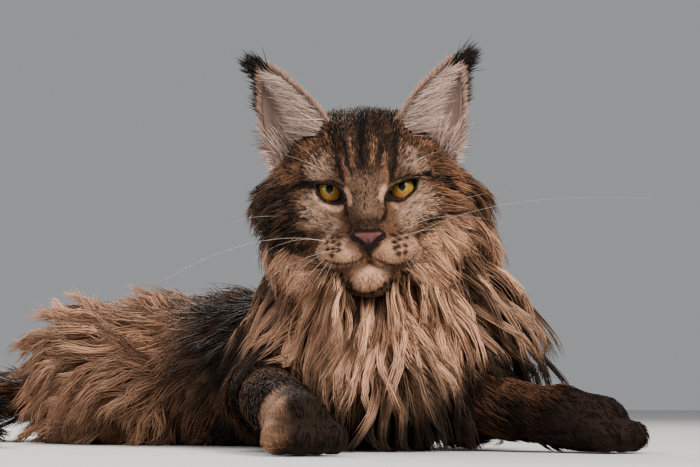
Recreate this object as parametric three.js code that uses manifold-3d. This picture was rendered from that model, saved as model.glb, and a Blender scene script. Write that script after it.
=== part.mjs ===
// A Maine Coon cat, life size, lying on its breast with its head up and its body turned away behind it.
// Millimetres. The cat looks along -Y. +X is its left, +Z is up, and it rests on the floor z = 0.
// The origin is on the flat under the breastbone.
import * as THREE from "three";
import { mergeVertices } from "three/addons/utils/BufferGeometryUtils.js";
import Module from "manifold-3d";

const wasm = await Module();
wasm.setup();

// Driving dimensions
const EYE_HEIGHT = 177; // middle of the eyes above the floor
const EYE_AHEAD = 100; // eyes ahead of the breastbone flat
const EYE_HALF_SPACING = 25;
const EYEBALL = 11.2; // radius
const HEAD_NOD = 9.5; // degrees, nose down
const HEAD_ROLL = 2.3; // degrees, its left side up
const EAR_LENGTH = 64;
const EAR_HALF_WIDTH = 23;
const EAR_WALL = 2.6;
const RIB_RADIUS = 57;
const RIB_HEIGHT = 64; // middle of the rib cage above the floor
const RIB_TALL = 1.03; // height of the rib cage against its width
const LOIN_RADIUS = 50;
const HIP_RADIUS = 47;
const COAT_CORE = 8; // dense undercoat over the skin of the trunk
const FACE_COAT = 3.5;
const LEG_COAT = 3;
const TAIL_BONE = 11; // radius of the tail without its plume
const GAP = 0.3; // between nodes that touch
const FLOOR_DEPTH = 60;

const UP = new THREE.Vector3(0, 0, 1);
const clamp = THREE.MathUtils.clamp;
const lerp = THREE.MathUtils.lerp;
const radians = THREE.MathUtils.degToRad;
const at = (x, y, z) => new THREE.Vector3(x, y, z);

// Masses of the body, each a field that is negative inside

// A tapered rod from a to b. tall stretches its section upwards.
function rod(a, b, ra, rb, tall = 1) {
  const along = b.clone().sub(a);
  const lengthSq = along.lengthSq();
  const q = new THREE.Vector3();
  return (p) => {
    const t = clamp(q.subVectors(p, a).dot(along) / lengthSq, 0, 1);
    q.addScaledVector(along, -t);
    q.z /= tall;
    return q.length() - lerp(ra, rb, t);
  };
}

// An egg about a centre, with a radius along each axis.
function egg(c, rx, ry, rz) {
  const q = new THREE.Vector3();
  return (p) => {
    q.subVectors(p, c);
    const near = Math.hypot(q.x / rx, q.y / ry, q.z / rz);
    const slope = Math.hypot(q.x / rx ** 2, q.y / ry ** 2, q.z / rz ** 2);
    return slope < 1e-9 ? -Math.min(rx, ry, rz) : (near * (near - 1)) / slope;
  };
}

function blendTwo(a, b, k) {
  const h = Math.max(k - Math.abs(a - b), 0) / k;
  return Math.min(a, b) - (h * h * k) / 4;
}

function blend(k, ...masses) {
  return (p) => masses.reduce((d, mass) => blendTwo(d, mass(p), k), Infinity);
}

function outward(field, p) {
  const e = 0.8;
  const n = new THREE.Vector3();
  for (const axis of ["x", "y", "z"]) {
    const q = p.clone();
    q[axis] += e;
    const ahead = field(q);
    q[axis] -= 2 * e;
    n[axis] = ahead - field(q);
  }
  return n.normalize();
}

// The first point along a ray where the field reaches a level.
function reach(field, from, direction, level = 0) {
  const p = from.clone();
  let t = 0;
  for (let step = 0; step < 160; step++) {
    const d = field(p) - level;
    if (d > -0.01) break;
    t += Math.max(-0.9 * d, 0.04);
    p.copy(from).addScaledVector(direction, t);
  }
  return p;
}

// Closed surfaces from rows of points

// rows holds rings of points, and a first and last single point that close the ends.
function closedRows(first, rows, last) {
  const sides = rows[0].length;
  const points = [first, ...rows.flat(), last];
  const faces = [];
  const id = (r, s) => 1 + r * sides + (s % sides);
  for (let s = 0; s < sides; s++) {
    faces.push(0, id(0, s + 1), id(0, s));
    for (let r = 0; r + 1 < rows.length; r++) {
      faces.push(id(r, s), id(r, s + 1), id(r + 1, s));
      faces.push(id(r, s + 1), id(r + 1, s + 1), id(r + 1, s));
    }
    faces.push(points.length - 1, id(rows.length - 1, s), id(rows.length - 1, s + 1));
  }
  return new THREE.BufferGeometry().setFromPoints(points).setIndex(faces);
}

function solid(geometry) {
  const bare = new THREE.BufferGeometry();
  bare.setAttribute("position", geometry.getAttribute("position"));
  bare.setIndex(geometry.getIndex());
  const merged = mergeVertices(bare, 1e-4);
  const made = (faces) =>
    new wasm.Manifold(
      new wasm.Mesh({
        numProp: 3,
        vertProperties: merged.attributes.position.array,
        triVerts: new Uint32Array(faces),
      }),
    );
  const faces = Array.from(merged.index.array);
  const first = made(faces);
  return first.volume() > 0 ? first : made(faces.reverse());
}

// A skin round a field, seen from a line of centres: rings square to the line, and fans over both ends.
function wrapped(field, line, { rings, fan, sides, level = 0, top = UP }) {
  const curve = new THREE.CatmullRomCurve3(line);
  const rows = [];
  for (let i = 1; i <= fan; i++) rows.push({ t: 0, tilt: (i / (fan + 1) - 1) * 90 });
  for (let i = 0; i <= rings; i++) rows.push({ t: i / rings, tilt: 0 });
  for (let i = 1; i <= fan; i++) rows.push({ t: 1, tilt: (i / (fan + 1)) * 90 });
  const ringAt = ({ t, tilt }) => {
    const centre = curve.getPointAt(t);
    const along = curve.getTangentAt(t);
    const side = new THREE.Vector3().crossVectors(along, top).normalize();
    const rise = new THREE.Vector3().crossVectors(side, along);
    return Array.from({ length: sides }, (_, s) => {
      const a = (s / sides) * 2 * Math.PI;
      const ray = side.clone().multiplyScalar(Math.cos(a)).addScaledVector(rise, Math.sin(a));
      ray.multiplyScalar(Math.cos(radians(tilt))).addScaledVector(along, Math.sin(radians(tilt)));
      return reach(field, centre, ray.normalize(), level);
    });
  };
  const start = curve.getTangentAt(0).negate();
  const end = curve.getTangentAt(1);
  const first = reach(field, curve.getPointAt(0), start, level);
  const last = reach(field, curve.getPointAt(1), end, level);
  return closedRows(first, rows.map(ringAt), last);
}

// A skin round a field from one centre, with its rings about a pole, closer together near it.
function aroundCentre(field, centre, pole, { rings, sides, level = 0, crowd = 1 }) {
  const side = new THREE.Vector3().crossVectors(pole, UP).normalize();
  const rise = new THREE.Vector3().crossVectors(side, pole);
  const rows = [];
  for (let r = 1; r < rings; r++) {
    const open = Math.pow(r / rings, crowd) * Math.PI;
    rows.push(
      Array.from({ length: sides }, (_, s) => {
        const a = (s / sides) * 2 * Math.PI;
        const ray = side.clone().multiplyScalar(Math.cos(a)).addScaledVector(rise, Math.sin(a));
        ray.multiplyScalar(Math.sin(open)).addScaledVector(pole, Math.cos(open));
        return reach(field, centre, ray.normalize(), level);
      }),
    );
  }
  const back = pole.clone().negate();
  return closedRows(reach(field, centre, pole, level), rows, reach(field, centre, back, level));
}

// A thin bar swept along points, used to cut the mouth line and to raise the lids.
function bar(points, across, halfDeep, halfHigh) {
  const curve = new THREE.CatmullRomCurve3(points);
  const steps = points.length + 2;
  const rows = [];
  for (let i = 0; i <= steps; i++) {
    const c = curve.getPointAt(i / steps);
    const along = curve.getTangentAt(i / steps);
    const deep = across(c).projectOnPlane(along).normalize();
    const high = new THREE.Vector3().crossVectors(along, deep);
    rows.push([
      c.clone().addScaledVector(deep, halfDeep),
      c.clone().addScaledVector(high, halfHigh),
      c.clone().addScaledVector(deep, -halfDeep),
      c.clone().addScaledVector(high, -halfHigh),
    ]);
  }
  return closedRows(curve.getPointAt(0), rows, curve.getPointAt(1));
}

// Locks of the long coat

// Shares of a lock's full width and thickness, from its root to near its tip.
const LOCK_STEPS = [
  { t: 0, wide: 0.75, thick: 1 },
  { t: 0.36, wide: 1, thick: 0.95 },
  { t: 0.74, wide: 0.62, thick: 0.6 },
];

// A flat lock leaves the coat, bends over along its lie, sags and tapers to a point.
function lock({ root, out, lie, length, width, thick, lift, sag, sunk }, grow = 0) {
  const stage = (along, up, down) =>
    root
      .clone()
      .addScaledVector(lie, along * length)
      .addScaledVector(out, up * lift)
      .addScaledVector(UP, -down * sag);
  const base = stage(-0.12, -sunk / lift, 0);
  const tip = stage(1 + (2 * grow) / length, 0.6, 1);
  const path = new THREE.CubicBezierCurve3(base, stage(0.15, 0.9, 0), stage(0.6, 1.3, 0.2), tip);
  const rows = LOCK_STEPS.map(({ t, wide, thick: share }) => {
    const c = path.getPoint(t);
    const along = path.getTangent(t);
    const rise = out.clone().projectOnPlane(along).normalize();
    const side = new THREE.Vector3().crossVectors(along, rise);
    const halfWide = (width * wide) / 2 + grow;
    const halfThick = (thick * share) / 2 + grow;
    return [
      c.clone().addScaledVector(side, halfWide),
      c.clone().addScaledVector(rise, halfThick),
      c.clone().addScaledVector(side, -halfWide),
      c.clone().addScaledVector(rise, -halfThick),
    ];
  });
  return solid(closedRows(base.clone().addScaledVector(out, -grow), rows, tip));
}

// Draws that vary the locks, the same on every run
let seed = 7;
function draw(low = -1, high = 1) {
  seed = (seed * 16807) % 2147483647;
  return lerp(low, high, seed / 2147483647);
}

// The lie of the hair at a point: a direction laid flat on the coat.
const laid = (direction, out) => direction.clone().projectOnPlane(out).normalize();

// Joins and cuts

const join = (pieces) => wasm.Manifold.union(pieces);

// A node keeps its largest closed surface, which drops scraps and fills sealed hollows.
function largest(made) {
  return made.decompose().reduce((best, piece) => (piece.volume() > best.volume() ? piece : best));
}

const floorSlab = solid(new THREE.BoxGeometry(1600, 1600, FLOOR_DEPTH)).translate([0, 0, -FLOOR_DEPTH / 2]);

function cutClear(made, keepOuts) {
  return largest(keepOuts.reduce((left, keepOut) => left.subtract(keepOut), made.subtract(floorSlab)));
}

function toGeometry(made) {
  const { vertProperties, triVerts } = made.getMesh();
  const geometry = new THREE.BufferGeometry();
  geometry.setAttribute("position", new THREE.BufferAttribute(vertProperties, 3));
  geometry.setIndex(new THREE.BufferAttribute(triVerts, 1));
  geometry.computeVertexNormals();
  return geometry;
}

// Colours and finishes of the coat and bare parts
const fur = (color) => new THREE.MeshStandardMaterial({ color, roughness: 0.85, metalness: 0 });
const TAN_FUR = fur(0xa07a58);
const CREAM_FUR = fur(0xc3a182);
const TABBY_FUR = fur(0x6b5240);
const BLACK_FUR = fur(0x1e1814);
const NOSE_SKIN = new THREE.MeshStandardMaterial({ color: 0x8a4a40, roughness: 0.5, metalness: 0 });
const EYE_GLASS = new THREE.MeshStandardMaterial({ color: 0xb88a1c, roughness: 0.1, metalness: 0 });

const cat = new THREE.Group();
const headGroup = new THREE.Group();
headGroup.position.set(0, -EYE_AHEAD, EYE_HEIGHT);
headGroup.rotation.set(radians(HEAD_NOD), radians(-HEAD_ROLL), 0);
headGroup.updateMatrix();
cat.add(headGroup);

function addNode(name, made, material, group = cat) {
  const mesh = new THREE.Mesh(toGeometry(made), material);
  mesh.name = name;
  group.add(mesh);
}

const toWorld = (made) => made.transform(headGroup.matrix.elements);
const mirrored = (p) => at(-p.x, p.y, p.z);

// The head, in its own frame: x to its left, y back, z up, and the middle of the eyes at the origin

const CRANIUM = egg(at(0, 38, 8), 46, 45, 39);
const BROW = egg(at(0, 20, 13), 37, 25, 21);
const BRIDGE = rod(at(0, 4, 2), at(0, -34, -21), 16, 10);
const CHIN = egg(at(0, -24, -57), 18, 17, 12);
const JAW = rod(at(0, -12, -54), at(0, 40, -42), 16, 26);
const SKULL_BACK = rod(at(0, 46, -6), at(0, 50, -22), 38, 38);
const earRootOf = (side) => rod(at(side * 36, 42, 20), at(side * 47, 42, 0), 15, 17);
const eyeMoundOf = (side) => egg(at(side * 25, 12.5, 0), 13, 11.5, 11.5);
const browOf = (side) => rod(at(side * 12, 6, 9), at(side * 33, 12, 14), 9, 10);
const cheekOf = (side) => egg(at(side * 37, 30, -17), 25, 32, 27);
const jowlOf = (side) => egg(at(side * 34, 34, -38), 24, 30, 24);
const cheekboneOf = (side) => rod(at(side * 27, 15, -15), at(side * 13, -16, -31), 17, 12);
const padOf = (side) => egg(at(side * 15.5, -20, -38.5), 20, 22, 13.5);

const face = blend(
  11,
  CRANIUM,
  BROW,
  BRIDGE,
  JAW,
  SKULL_BACK,
  cheekOf(1),
  cheekOf(-1),
  jowlOf(1),
  jowlOf(-1),
  cheekboneOf(1),
  cheekboneOf(-1),
  earRootOf(1),
  earRootOf(-1),
);
const headField = blend(
  5,
  face,
  eyeMoundOf(1),
  eyeMoundOf(-1),
  browOf(1),
  browOf(-1),
  padOf(1),
  padOf(-1),
  CHIN,
);

const FORWARD = at(0, -1, 0);
const HEAD_LINE = [at(0, 46, -4), at(0, 22, -10), at(0, -6, -27), at(0, -30, -38)];
const headForm = (grow) =>
  solid(wrapped(headField, HEAD_LINE, { rings: 12, fan: 4, sides: 26, level: FACE_COAT + grow }));
const headSkin = headForm(0);
const headKeepOut = headForm(GAP);

// Eyes: balls deep in the skull behind almond openings, with raised lids round each opening
const EYE_DEPTH = 11; // middle of the ball behind the eye line
const LID_POINTS = [
  [11.5, 4.5],
  [5, 5.2],
  [-3, 3.2],
  [-12, -6.8],
  [-6, -8],
  [1, -8.6],
  [8, -5.2],
];
const eyeCentre = (side) => at(side * EYE_HALF_SPACING, EYE_DEPTH, 0);
const ball = (centre, radius) => {
  const geometry = new THREE.SphereGeometry(radius, 12, 8);
  geometry.translate(centre.x, centre.y, centre.z);
  geometry.deleteAttribute("normal");
  geometry.deleteAttribute("uv");
  return solid(geometry);
};

function lidOutline(side) {
  return LID_POINTS.map(([x, z]) => at(side * (EYE_HALF_SPACING + x), 0, z));
}

function almond(side) {
  const shape = new THREE.Shape();
  const outline = new THREE.CatmullRomCurve3(lidOutline(side), true, "centripetal").getPoints(16).slice(0, -1);
  shape.setFromPoints(outline.map((p) => new THREE.Vector2(p.x, p.z)));
  const geometry = new THREE.ExtrudeGeometry(shape, { depth: 60, bevelEnabled: false });
  geometry.rotateX(Math.PI / 2);
  geometry.translate(0, EYE_DEPTH, 0);
  geometry.deleteAttribute("normal");
  geometry.deleteAttribute("uv");
  return solid(geometry);
}

function onFace(x, z) {
  return reach(headField, at(x, 12, z), FORWARD, FACE_COAT);
}

function lids(side) {
  const rim = new THREE.CatmullRomCurve3(lidOutline(side), true, "centripetal").getPoints(14).slice(0, -1);
  const points = rim.map((p) => onFace(p.x, p.z));
  const middle = eyeCentre(side);
  const ring = points.map((p, i) => {
    const before = points[(i + points.length - 1) % points.length];
    const after = points[(i + 1) % points.length];
    const along = after.clone().sub(before).normalize();
    const deep = middle.clone().sub(p).projectOnPlane(along).normalize();
    const high = new THREE.Vector3().crossVectors(along, deep);
    const corner = (d, h) => p.clone().addScaledVector(deep, d).addScaledVector(high, h);
    return [corner(-1.1, 0), corner(0.2, 1.5), corner(3, 0), corner(0.2, -1.5)];
  });
  const faces = [];
  const id = (r, s) => (r % ring.length) * 4 + (s % 4);
  for (let r = 0; r < ring.length; r++) {
    for (let s = 0; s < 4; s++) {
      faces.push(id(r, s), id(r, s + 1), id(r + 1, s));
      faces.push(id(r, s + 1), id(r + 1, s + 1), id(r + 1, s));
    }
  }
  return solid(new THREE.BufferGeometry().setFromPoints(ring.flat()).setIndex(faces));
}

// The mouth line runs from under the nose, round the lower edge of each whisker pad, to the corners
const MOUTH_POINTS = [
  [0, -43.5],
  [7, -47.5],
  [16, -50],
  [26, -48.5],
  [34, -44],
];
function mouthLine(side) {
  const points = MOUTH_POINTS.map(([x, z]) => {
    const from = at(side * x * 0.6, 8, z);
    const through = at(side * x, -40 + x * 0.55, z).sub(from).normalize();
    return reach(headField, from, through, FACE_COAT);
  });
  return solid(bar(points, () => at(side * 0.4, -1, 0), 3.4, 0.8));
}

// The groove under the nose, down to the mouth
const PHILTRUM = [-36, -40, -44].map((z) => reach(headField, at(0, 8, z), FORWARD, FACE_COAT));
const philtrum = solid(bar(PHILTRUM, () => FORWARD.clone(), 2.4, 0.7));

// Bare nose: a pad wider at its top, with a nostril at each side
const noseField = blend(
  4,
  egg(at(5.6, -44, -25), 6.4, 6.5, 4.6),
  egg(at(-5.6, -44, -25), 6.4, 6.5, 4.6),
  egg(at(0, -45, -30), 4.6, 6, 6.2),
);
const noseMesh = (level) => solid(aroundCentre(noseField, at(0, -43.5, -27), FORWARD, { rings: 7, sides: 12, level }));
const nostril = (side) => {
  const geometry = new THREE.SphereGeometry(1, 7, 5);
  geometry.scale(2.5, 4, 1.5);
  geometry.rotateY(radians(-side * 28));
  geometry.translate(side * 7, -49.5, -27.4);
  geometry.deleteAttribute("normal");
  geometry.deleteAttribute("uv");
  return solid(geometry);
};

// Ears: cupped walls that taper to a tufted tip, set on the back corners of the skull
const EAR_BASE = at(41, 38, 26); // middle of the base, sunk in the skull
const EAR_TIP = at(64, 36, 80);
const EAR_OPENS = at(0.42, -1, 0.12); // the way the cup faces
const EAR_ROWS = 5;
const EAR_COLUMNS = 4;

function earFrame(side) {
  const base = side > 0 ? EAR_BASE.clone() : mirrored(EAR_BASE);
  const tip = side > 0 ? EAR_TIP.clone() : mirrored(EAR_TIP);
  const rise = tip.clone().sub(base).normalize();
  const face = laid(at(side * EAR_OPENS.x, EAR_OPENS.y, EAR_OPENS.z), rise);
  const across = new THREE.Vector3().crossVectors(face, rise).multiplyScalar(-side);
  return { base, tip, rise, face, across };
}

// A point of the cup: u runs from its inner edge at -1 to its outer edge at 1, and v from base to tip.
function earPoint(side, u, v, behind) {
  const { base, rise, face, across } = earFrame(side);
  const half = EAR_HALF_WIDTH * Math.pow(1 - v, 0.72) * (1 + 0.22 * Math.sin(Math.PI * v)) + 1.6;
  const hollow = (1 - u * u) * (15 * (1 - v) ** 0.8 + 1.5);
  return base
    .clone()
    .addScaledVector(rise, v * EAR_LENGTH - 2 * u * (1 - v))
    .addScaledVector(across, u * half)
    .addScaledVector(face, -hollow - behind * (1 - 0.45 * v));
}

function earShell(side, grow = 0) {
  const rows = [];
  for (let r = 0; r <= EAR_ROWS; r++) {
    const v = -0.16 + (r / EAR_ROWS) * 1.16;
    const inner = [];
    const outer = [];
    for (let c = 0; c <= EAR_COLUMNS; c++) {
      const u = (c / EAR_COLUMNS) * 2 - 1;
      inner.push(earPoint(side, u * (1 + grow / 20), Math.max(v, -0.16), -grow));
      outer.push(earPoint(side, u * (1 + grow / 20), Math.max(v, -0.16), EAR_WALL + grow));
    }
    rows.push([...inner, ...outer.reverse()]);
  }
  const middle = (row) => row.reduce((sum, p) => sum.add(p), at(0, 0, 0)).divideScalar(row.length);
  return solid(closedRows(middle(rows[0]), rows, middle(rows[EAR_ROWS])));
}

// The black tuft on the ear's tip
function earTuft(side) {
  const { rise, face, across } = earFrame(side);
  const spread = [-0.34, -0.05, 0.26];
  return spread.map((lean, i) =>
    lock({
      root: earPoint(side, 0.1, 0.93 - 0.05 * i, 1),
      out: face.clone().negate(),
      lie: rise.clone().addScaledVector(across, lean + 0.05).normalize(),
      length: 22 - 5 * i,
      width: 6.5,
      thick: 2.4,
      lift: 1,
      sag: 0,
      sunk: 1.2,
    }),
  );
}

// Pale hair that crosses the cup from its inner edge
function earFringe(side) {
  const { rise, face, across } = earFrame(side);
  return [0.12, 0.36].map((v) =>
    lock({
      root: earPoint(side, -0.62, v, 0.6),
      out: face,
      lie: across.clone().addScaledVector(rise, 0.55).normalize(),
      length: 25 * (1 - 0.6 * v),
      width: 14 * (1 - 0.4 * v),
      thick: 2.2,
      lift: 3.2,
      sag: 0,
      sunk: 1.2,
    }),
  );
}

const eyeHoles = [1, -1].flatMap((side) => [ball(eyeCentre(side), EYEBALL + GAP), almond(side)]);
const lidRims = [1, -1].map(lids);
const locksOf = (specs, grow = 0) => join(specs.map((spec) => lock(spec, grow)));
const mouthCuts = [mouthLine(1), mouthLine(-1), philtrum, noseMesh(GAP)];

let head = join([headSkin, ...lidRims]);
head = eyeHoles.concat(mouthCuts).reduce((left, hole) => left.subtract(hole), head);

for (const [side, name] of [
  [1, "left"],
  [-1, "right"],
]) {
  const shell = join([earShell(side), ...earTuft(side), ...earFringe(side)]);
  addNode("ear_" + name, largest(shell.subtract(headKeepOut)), TABBY_FUR, headGroup);
  addNode("eye_" + name, ball(eyeCentre(side), EYEBALL), EYE_GLASS, headGroup);
}
addNode("nose", largest(noseMesh(0).subtract(nostril(1)).subtract(nostril(-1))), NOSE_SKIN, headGroup);

// The trunk lies along a line from the breast back to the rump

const BREAST = at(2, 6, RIB_HEIGHT);
const BARREL = at(-85, 115, 57);
const LOIN = at(-160, 205, 60);
const RUMP = at(-203, 258, 56);
const AHEAD = BREAST.clone().sub(RUMP).setZ(0).normalize(); // from rump to breast
const SIDEWAYS = at(AHEAD.y, -AHEAD.x, 0); // to the cat's right

const trunkField = blend(
  22,
  rod(BREAST, BARREL, RIB_RADIUS, LOIN_RADIUS, RIB_TALL),
  rod(BARREL, LOIN, LOIN_RADIUS, LOIN_RADIUS),
  rod(LOIN, RUMP, LOIN_RADIUS, HIP_RADIUS),
  rod(at(0, 5, 122), at(-36, 52, 104), 24, 20),
);

// A point beside the hips: ahead towards the breast, out to one side (1 is the cat's right) and up.
function byHip(side, ahead, out, up) {
  return LOIN.clone()
    .lerp(RUMP, 0.55)
    .setZ(up)
    .addScaledVector(AHEAD, ahead)
    .addScaledVector(SIDEWAYS, side * out);
}

const thighField = (side) =>
  blend(
    16,
    rod(byHip(side, -8, 34, 62), byHip(side, 88, 44, 42), 46, 30),
    rod(byHip(side, 86, 46, 34), byHip(side, -10, 62, 24), 24, 15),
  );
const hindFootField = (side) =>
  blend(
    6,
    rod(byHip(side, -18, 66, 16), byHip(side, 60, 64, 12), 13, 12),
    ...[-1.5, -0.5, 0.5, 1.5].map((toe) =>
      rod(byHip(side, 62, 64 + 8 * toe, 13), byHip(side, 78 - 2 * toe * toe, 64 + 9 * toe, 9), 8, 8),
    ),
  );

// Forelegs: elbow, wrist and the middle of the paw
const FORELEGS = {
  right: {
    shoulder: at(-44, -20, 84),
    elbow: at(-70, -52, 40),
    wrist: at(-53, -168, 27),
    paw: at(-43, -206, 19),
  },
  left: {
    shoulder: at(50, -18, 82),
    elbow: at(68, -56, 34),
    wrist: at(128, -118, 24),
    paw: at(153, -137, 18),
  },
};

function forelegField({ shoulder, elbow, wrist, paw }) {
  return blend(12, rod(shoulder, elbow, 33, 25), rod(elbow, wrist, 22, 16.5), rod(wrist, paw, 17, 18));
}

function forepawField({ wrist, paw }) {
  const ahead = paw.clone().sub(wrist).setZ(0).normalize();
  const aside = at(ahead.y, -ahead.x, 0);
  const toeAt = (toe, reachAhead, up) =>
    paw
      .clone()
      .setZ(up)
      .addScaledVector(ahead, reachAhead)
      .addScaledVector(aside, toe * 11.5);
  const toes = [-1.5, -0.5, 0.5, 1.5].map((toe) =>
    rod(toeAt(0.75 * toe, -2, 17), toeAt(toe, 22 - 3 * toe * toe, 11), 9, 10.5),
  );
  return blend(5, rod(wrist, paw, 17, 19), ...toes);
}

// Tail: it leaves the rump and curls forward along the right haunch, flat on the floor
const TAIL_LINE = [
  RUMP.clone().addScaledVector(AHEAD, -44).setZ(48),
  at(-292, 322, 37),
  at(-338, 292, 32),
  at(-351, 220, 30),
  at(-336, 148, 29),
  at(-311, 90, 27),
  at(-290, 48, 23),
];
const TAIL_LENGTHS = 3;
const PLUME_FROM = 0.08; // share of the tail's length that the coat of the rump covers
const tailCurve = new THREE.CatmullRomCurve3(TAIL_LINE);

// The ruff: a thick collar round the neck with a bib down to the floor
const ruffField = blend(
  18,
  rod(at(-30, -32, 168), at(-24, -34, 96), 43, 49),
  rod(at(41, -32, 166), at(60, -34, 92), 45, 52),
  rod(at(2, -70, 112), at(16, -82, 52), 34, 44),
  rod(at(0, -16, 176), at(-4, 4, 116), 34, 42),
);
const ruffAxis = (up) => at(4 + (150 - up) * 0.12, -42, up);

// Rows of ruff locks on each side: height, span of angles round from the throat, and their size
const RUFF_ROWS = [
  { up: 186, from: 76, to: 172, count: 3, length: 56, width: 38 },
  { up: 144, from: 60, to: 176, count: 4, length: 68, width: 38 },
  { up: 106, from: 0, to: 150, count: 5, length: 68, width: 36 },
  { up: 76, from: 0, to: 124, count: 5, length: 64, width: 33 },
  { up: 50, from: 4, to: 104, count: 4, length: 46, width: 29 },
];

function ruffLocks() {
  const locks = [];
  RUFF_ROWS.forEach(({ up, from, to, count, length, width }, row) => {
    for (const side of [1, -1]) {
      for (let i = 0; i < count; i++) {
        const stagger = row % 2 ? 0.25 : 0.75;
        const turn = radians(lerp(from, to, (i + stagger) / count));
        const ray = at(side * Math.sin(turn), -Math.cos(turn), 0);
        const root = reach(ruffField, ruffAxis(up + draw(-4, 4)), ray);
        const out = outward(ruffField, root);
        const flare = at((root.x - 6) * 0.012, -0.1 + Math.max(0, root.y + 50) * 0.02, -1);
        locks.push({
          root,
          out,
          lie: laid(flare, out),
          length: length + draw(-7, 7),
          width,
          thick: 7,
          lift: 10,
          sag: 4,
          sunk: 7,
        });
      }
    }
  });
  return locks;
}

// Locks of the back and flanks run from the ruff to the rump and hang lower down the side
const FLANK_ROWS = [
  { turn: 16, from: 0.1, to: 1.06, count: 6, length: 60 },
  { turn: 48, from: 0.1, to: 1.06, count: 6, length: 66 },
  { turn: 82, from: 0.16, to: 1.1, count: 5, length: 68 },
  { turn: 110, from: 0.14, to: 0.56, count: 2, length: 60 },
];
const RUMP_TURNS_FROM = 0.88; // share of the trunk's length where the rows begin to turn down behind

function flankLocks() {
  const line = new THREE.CatmullRomCurve3([BREAST, BARREL, LOIN, RUMP]);
  const back = AHEAD.clone().negate();
  const locks = [];
  FLANK_ROWS.forEach(({ turn, from, to, count, length }, row) => {
    for (const side of [1, -1]) {
      for (let i = 0; i < count; i++) {
        const along = lerp(from, to, (i + (row % 2 ? 0.2 : 0.6)) / count);
        const behind = clamp((along - RUMP_TURNS_FROM) / (1 - RUMP_TURNS_FROM), 0, 1);
        const a = radians(turn);
        const ray = SIDEWAYS.clone().multiplyScalar(side * Math.sin(a)).addScaledVector(UP, Math.cos(a));
        ray.addScaledVector(back, behind).normalize();
        const root = reach(trunkField, line.getPointAt(Math.min(along, 1)), ray, COAT_CORE);
        const out = outward(trunkField, root);
        locks.push({
          root,
          out,
          lie: laid(back.clone().addScaledVector(UP, -0.2 - 0.35 * row), out),
          length: length + draw(-6, 6),
          width: 34,
          thick: 7,
          lift: 7 + row,
          sag: 3 + 2 * row,
          sunk: 6,
        });
      }
    }
  });
  return locks;
}

// Long hair of the thighs
function thighLocks(side) {
  const locks = [];
  for (let row = 0; row < 3; row++) {
    for (let i = 0; i < 3; i++) {
      const from = byHip(side, 78 - 38 * i, 38, 58 - 6 * row);
      const a = radians(30 + 34 * row);
      const ray = SIDEWAYS.clone().multiplyScalar(side * Math.sin(a)).addScaledVector(UP, Math.cos(a));
      const root = reach(thighField(side), from, ray, COAT_CORE);
      const out = outward(thighField(side), root);
      const lie = AHEAD.clone().negate().addScaledVector(UP, -0.45 - 0.2 * row);
      locks.push({
        root,
        out,
        lie: laid(lie, out),
        length: 62 + draw(-6, 6),
        width: 34,
        thick: 7,
        lift: 10,
        sag: 6,
        sunk: 6,
      });
    }
  }
  return locks;
}

// Plume of the tail: locks all round that leave it slantwise and lie back towards its tip
function tailLocks(length) {
  const locks = [];
  const rows = 3;
  const around = 5;
  for (let row = 0; row < rows; row++) {
    const t = (length + (row + 0.35) / rows) / TAIL_LENGTHS;
    if (t < PLUME_FROM) continue;
    const centre = tailCurve.getPointAt(t);
    const along = tailCurve.getTangentAt(t);
    const side = new THREE.Vector3().crossVectors(along, UP).normalize();
    const rise = new THREE.Vector3().crossVectors(side, along);
    for (let i = 0; i < around; i++) {
      const a = ((i + (row % 2) / 2) / around) * 2 * Math.PI;
      const out = side.clone().multiplyScalar(Math.cos(a)).addScaledVector(rise, Math.sin(a));
      if (out.z < -0.8) continue;
      const spread = out.z < 0 ? out.clone().setZ(out.z * 0.3) : out;
      locks.push({
        root: reach(tailField, centre, out, TAIL_CORE),
        out,
        lie: along.clone().addScaledVector(spread, 0.34).normalize(),
        length: 62 - 12 * t + draw(-5, 5),
        width: 30,
        thick: 6,
        lift: 8,
        sag: 5,
        sunk: 5,
      });
    }
  }
  return locks;
}

const TAIL_CORE = 8;
const tailField = blend(
  6,
  ...TAIL_LINE.slice(1).map((p, i) => rod(TAIL_LINE[i], p, TAIL_BONE + 3 - i * 0.7, TAIL_BONE + 2 - i * 0.7)),
);

// Smooth bodies of every node of flesh, each at its own coat depth, and the same a gap wider to keep others clear
const LEG_TOP = at(1, 0, 0);
const FORM = {
  trunk: (grow) =>
    solid(
      wrapped(trunkField, [BREAST, BARREL, LOIN, RUMP], { rings: 9, fan: 3, sides: 16, level: COAT_CORE + grow }),
    ),
  ruff: (grow) =>
    solid(wrapped(ruffField, [ruffAxis(158), ruffAxis(62)], { rings: 6, fan: 3, sides: 16, level: grow, top: FORWARD })),
};
for (const [name, leg] of Object.entries(FORELEGS)) {
  const legMesh = { rings: 7, fan: 2, sides: 12, top: LEG_TOP };
  const pawRay = leg.paw.clone().sub(leg.wrist).setZ(0).normalize();
  const pawCentre = leg.paw.clone().addScaledVector(pawRay, 4).setZ(17);
  FORM["foreleg_" + name] = (grow) =>
    solid(wrapped(forelegField(leg), [leg.shoulder, leg.elbow, leg.wrist], { ...legMesh, level: LEG_COAT + grow }));
  FORM["forepaw_" + name] = (grow) =>
    solid(aroundCentre(forepawField(leg), pawCentre, pawRay, { rings: 10, sides: 14, level: LEG_COAT + grow }));
}
for (const [name, side] of [
  ["right", 1],
  ["left", -1],
]) {
  const thighLine = [byHip(side, -8, 36, 58), byHip(side, 86, 46, 42)];
  const footLine = [byHip(side, -14, 66, 15), byHip(side, 60, 64, 13)];
  FORM["thigh_" + name] = (grow) =>
    solid(wrapped(thighField(side), thighLine, { rings: 5, fan: 3, sides: 14, level: COAT_CORE + grow }));
  FORM["hindfoot_" + name] = (grow) =>
    solid(wrapped(hindFootField(side), footLine, { rings: 5, fan: 2, sides: 11, level: LEG_COAT + grow }));
}

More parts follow.
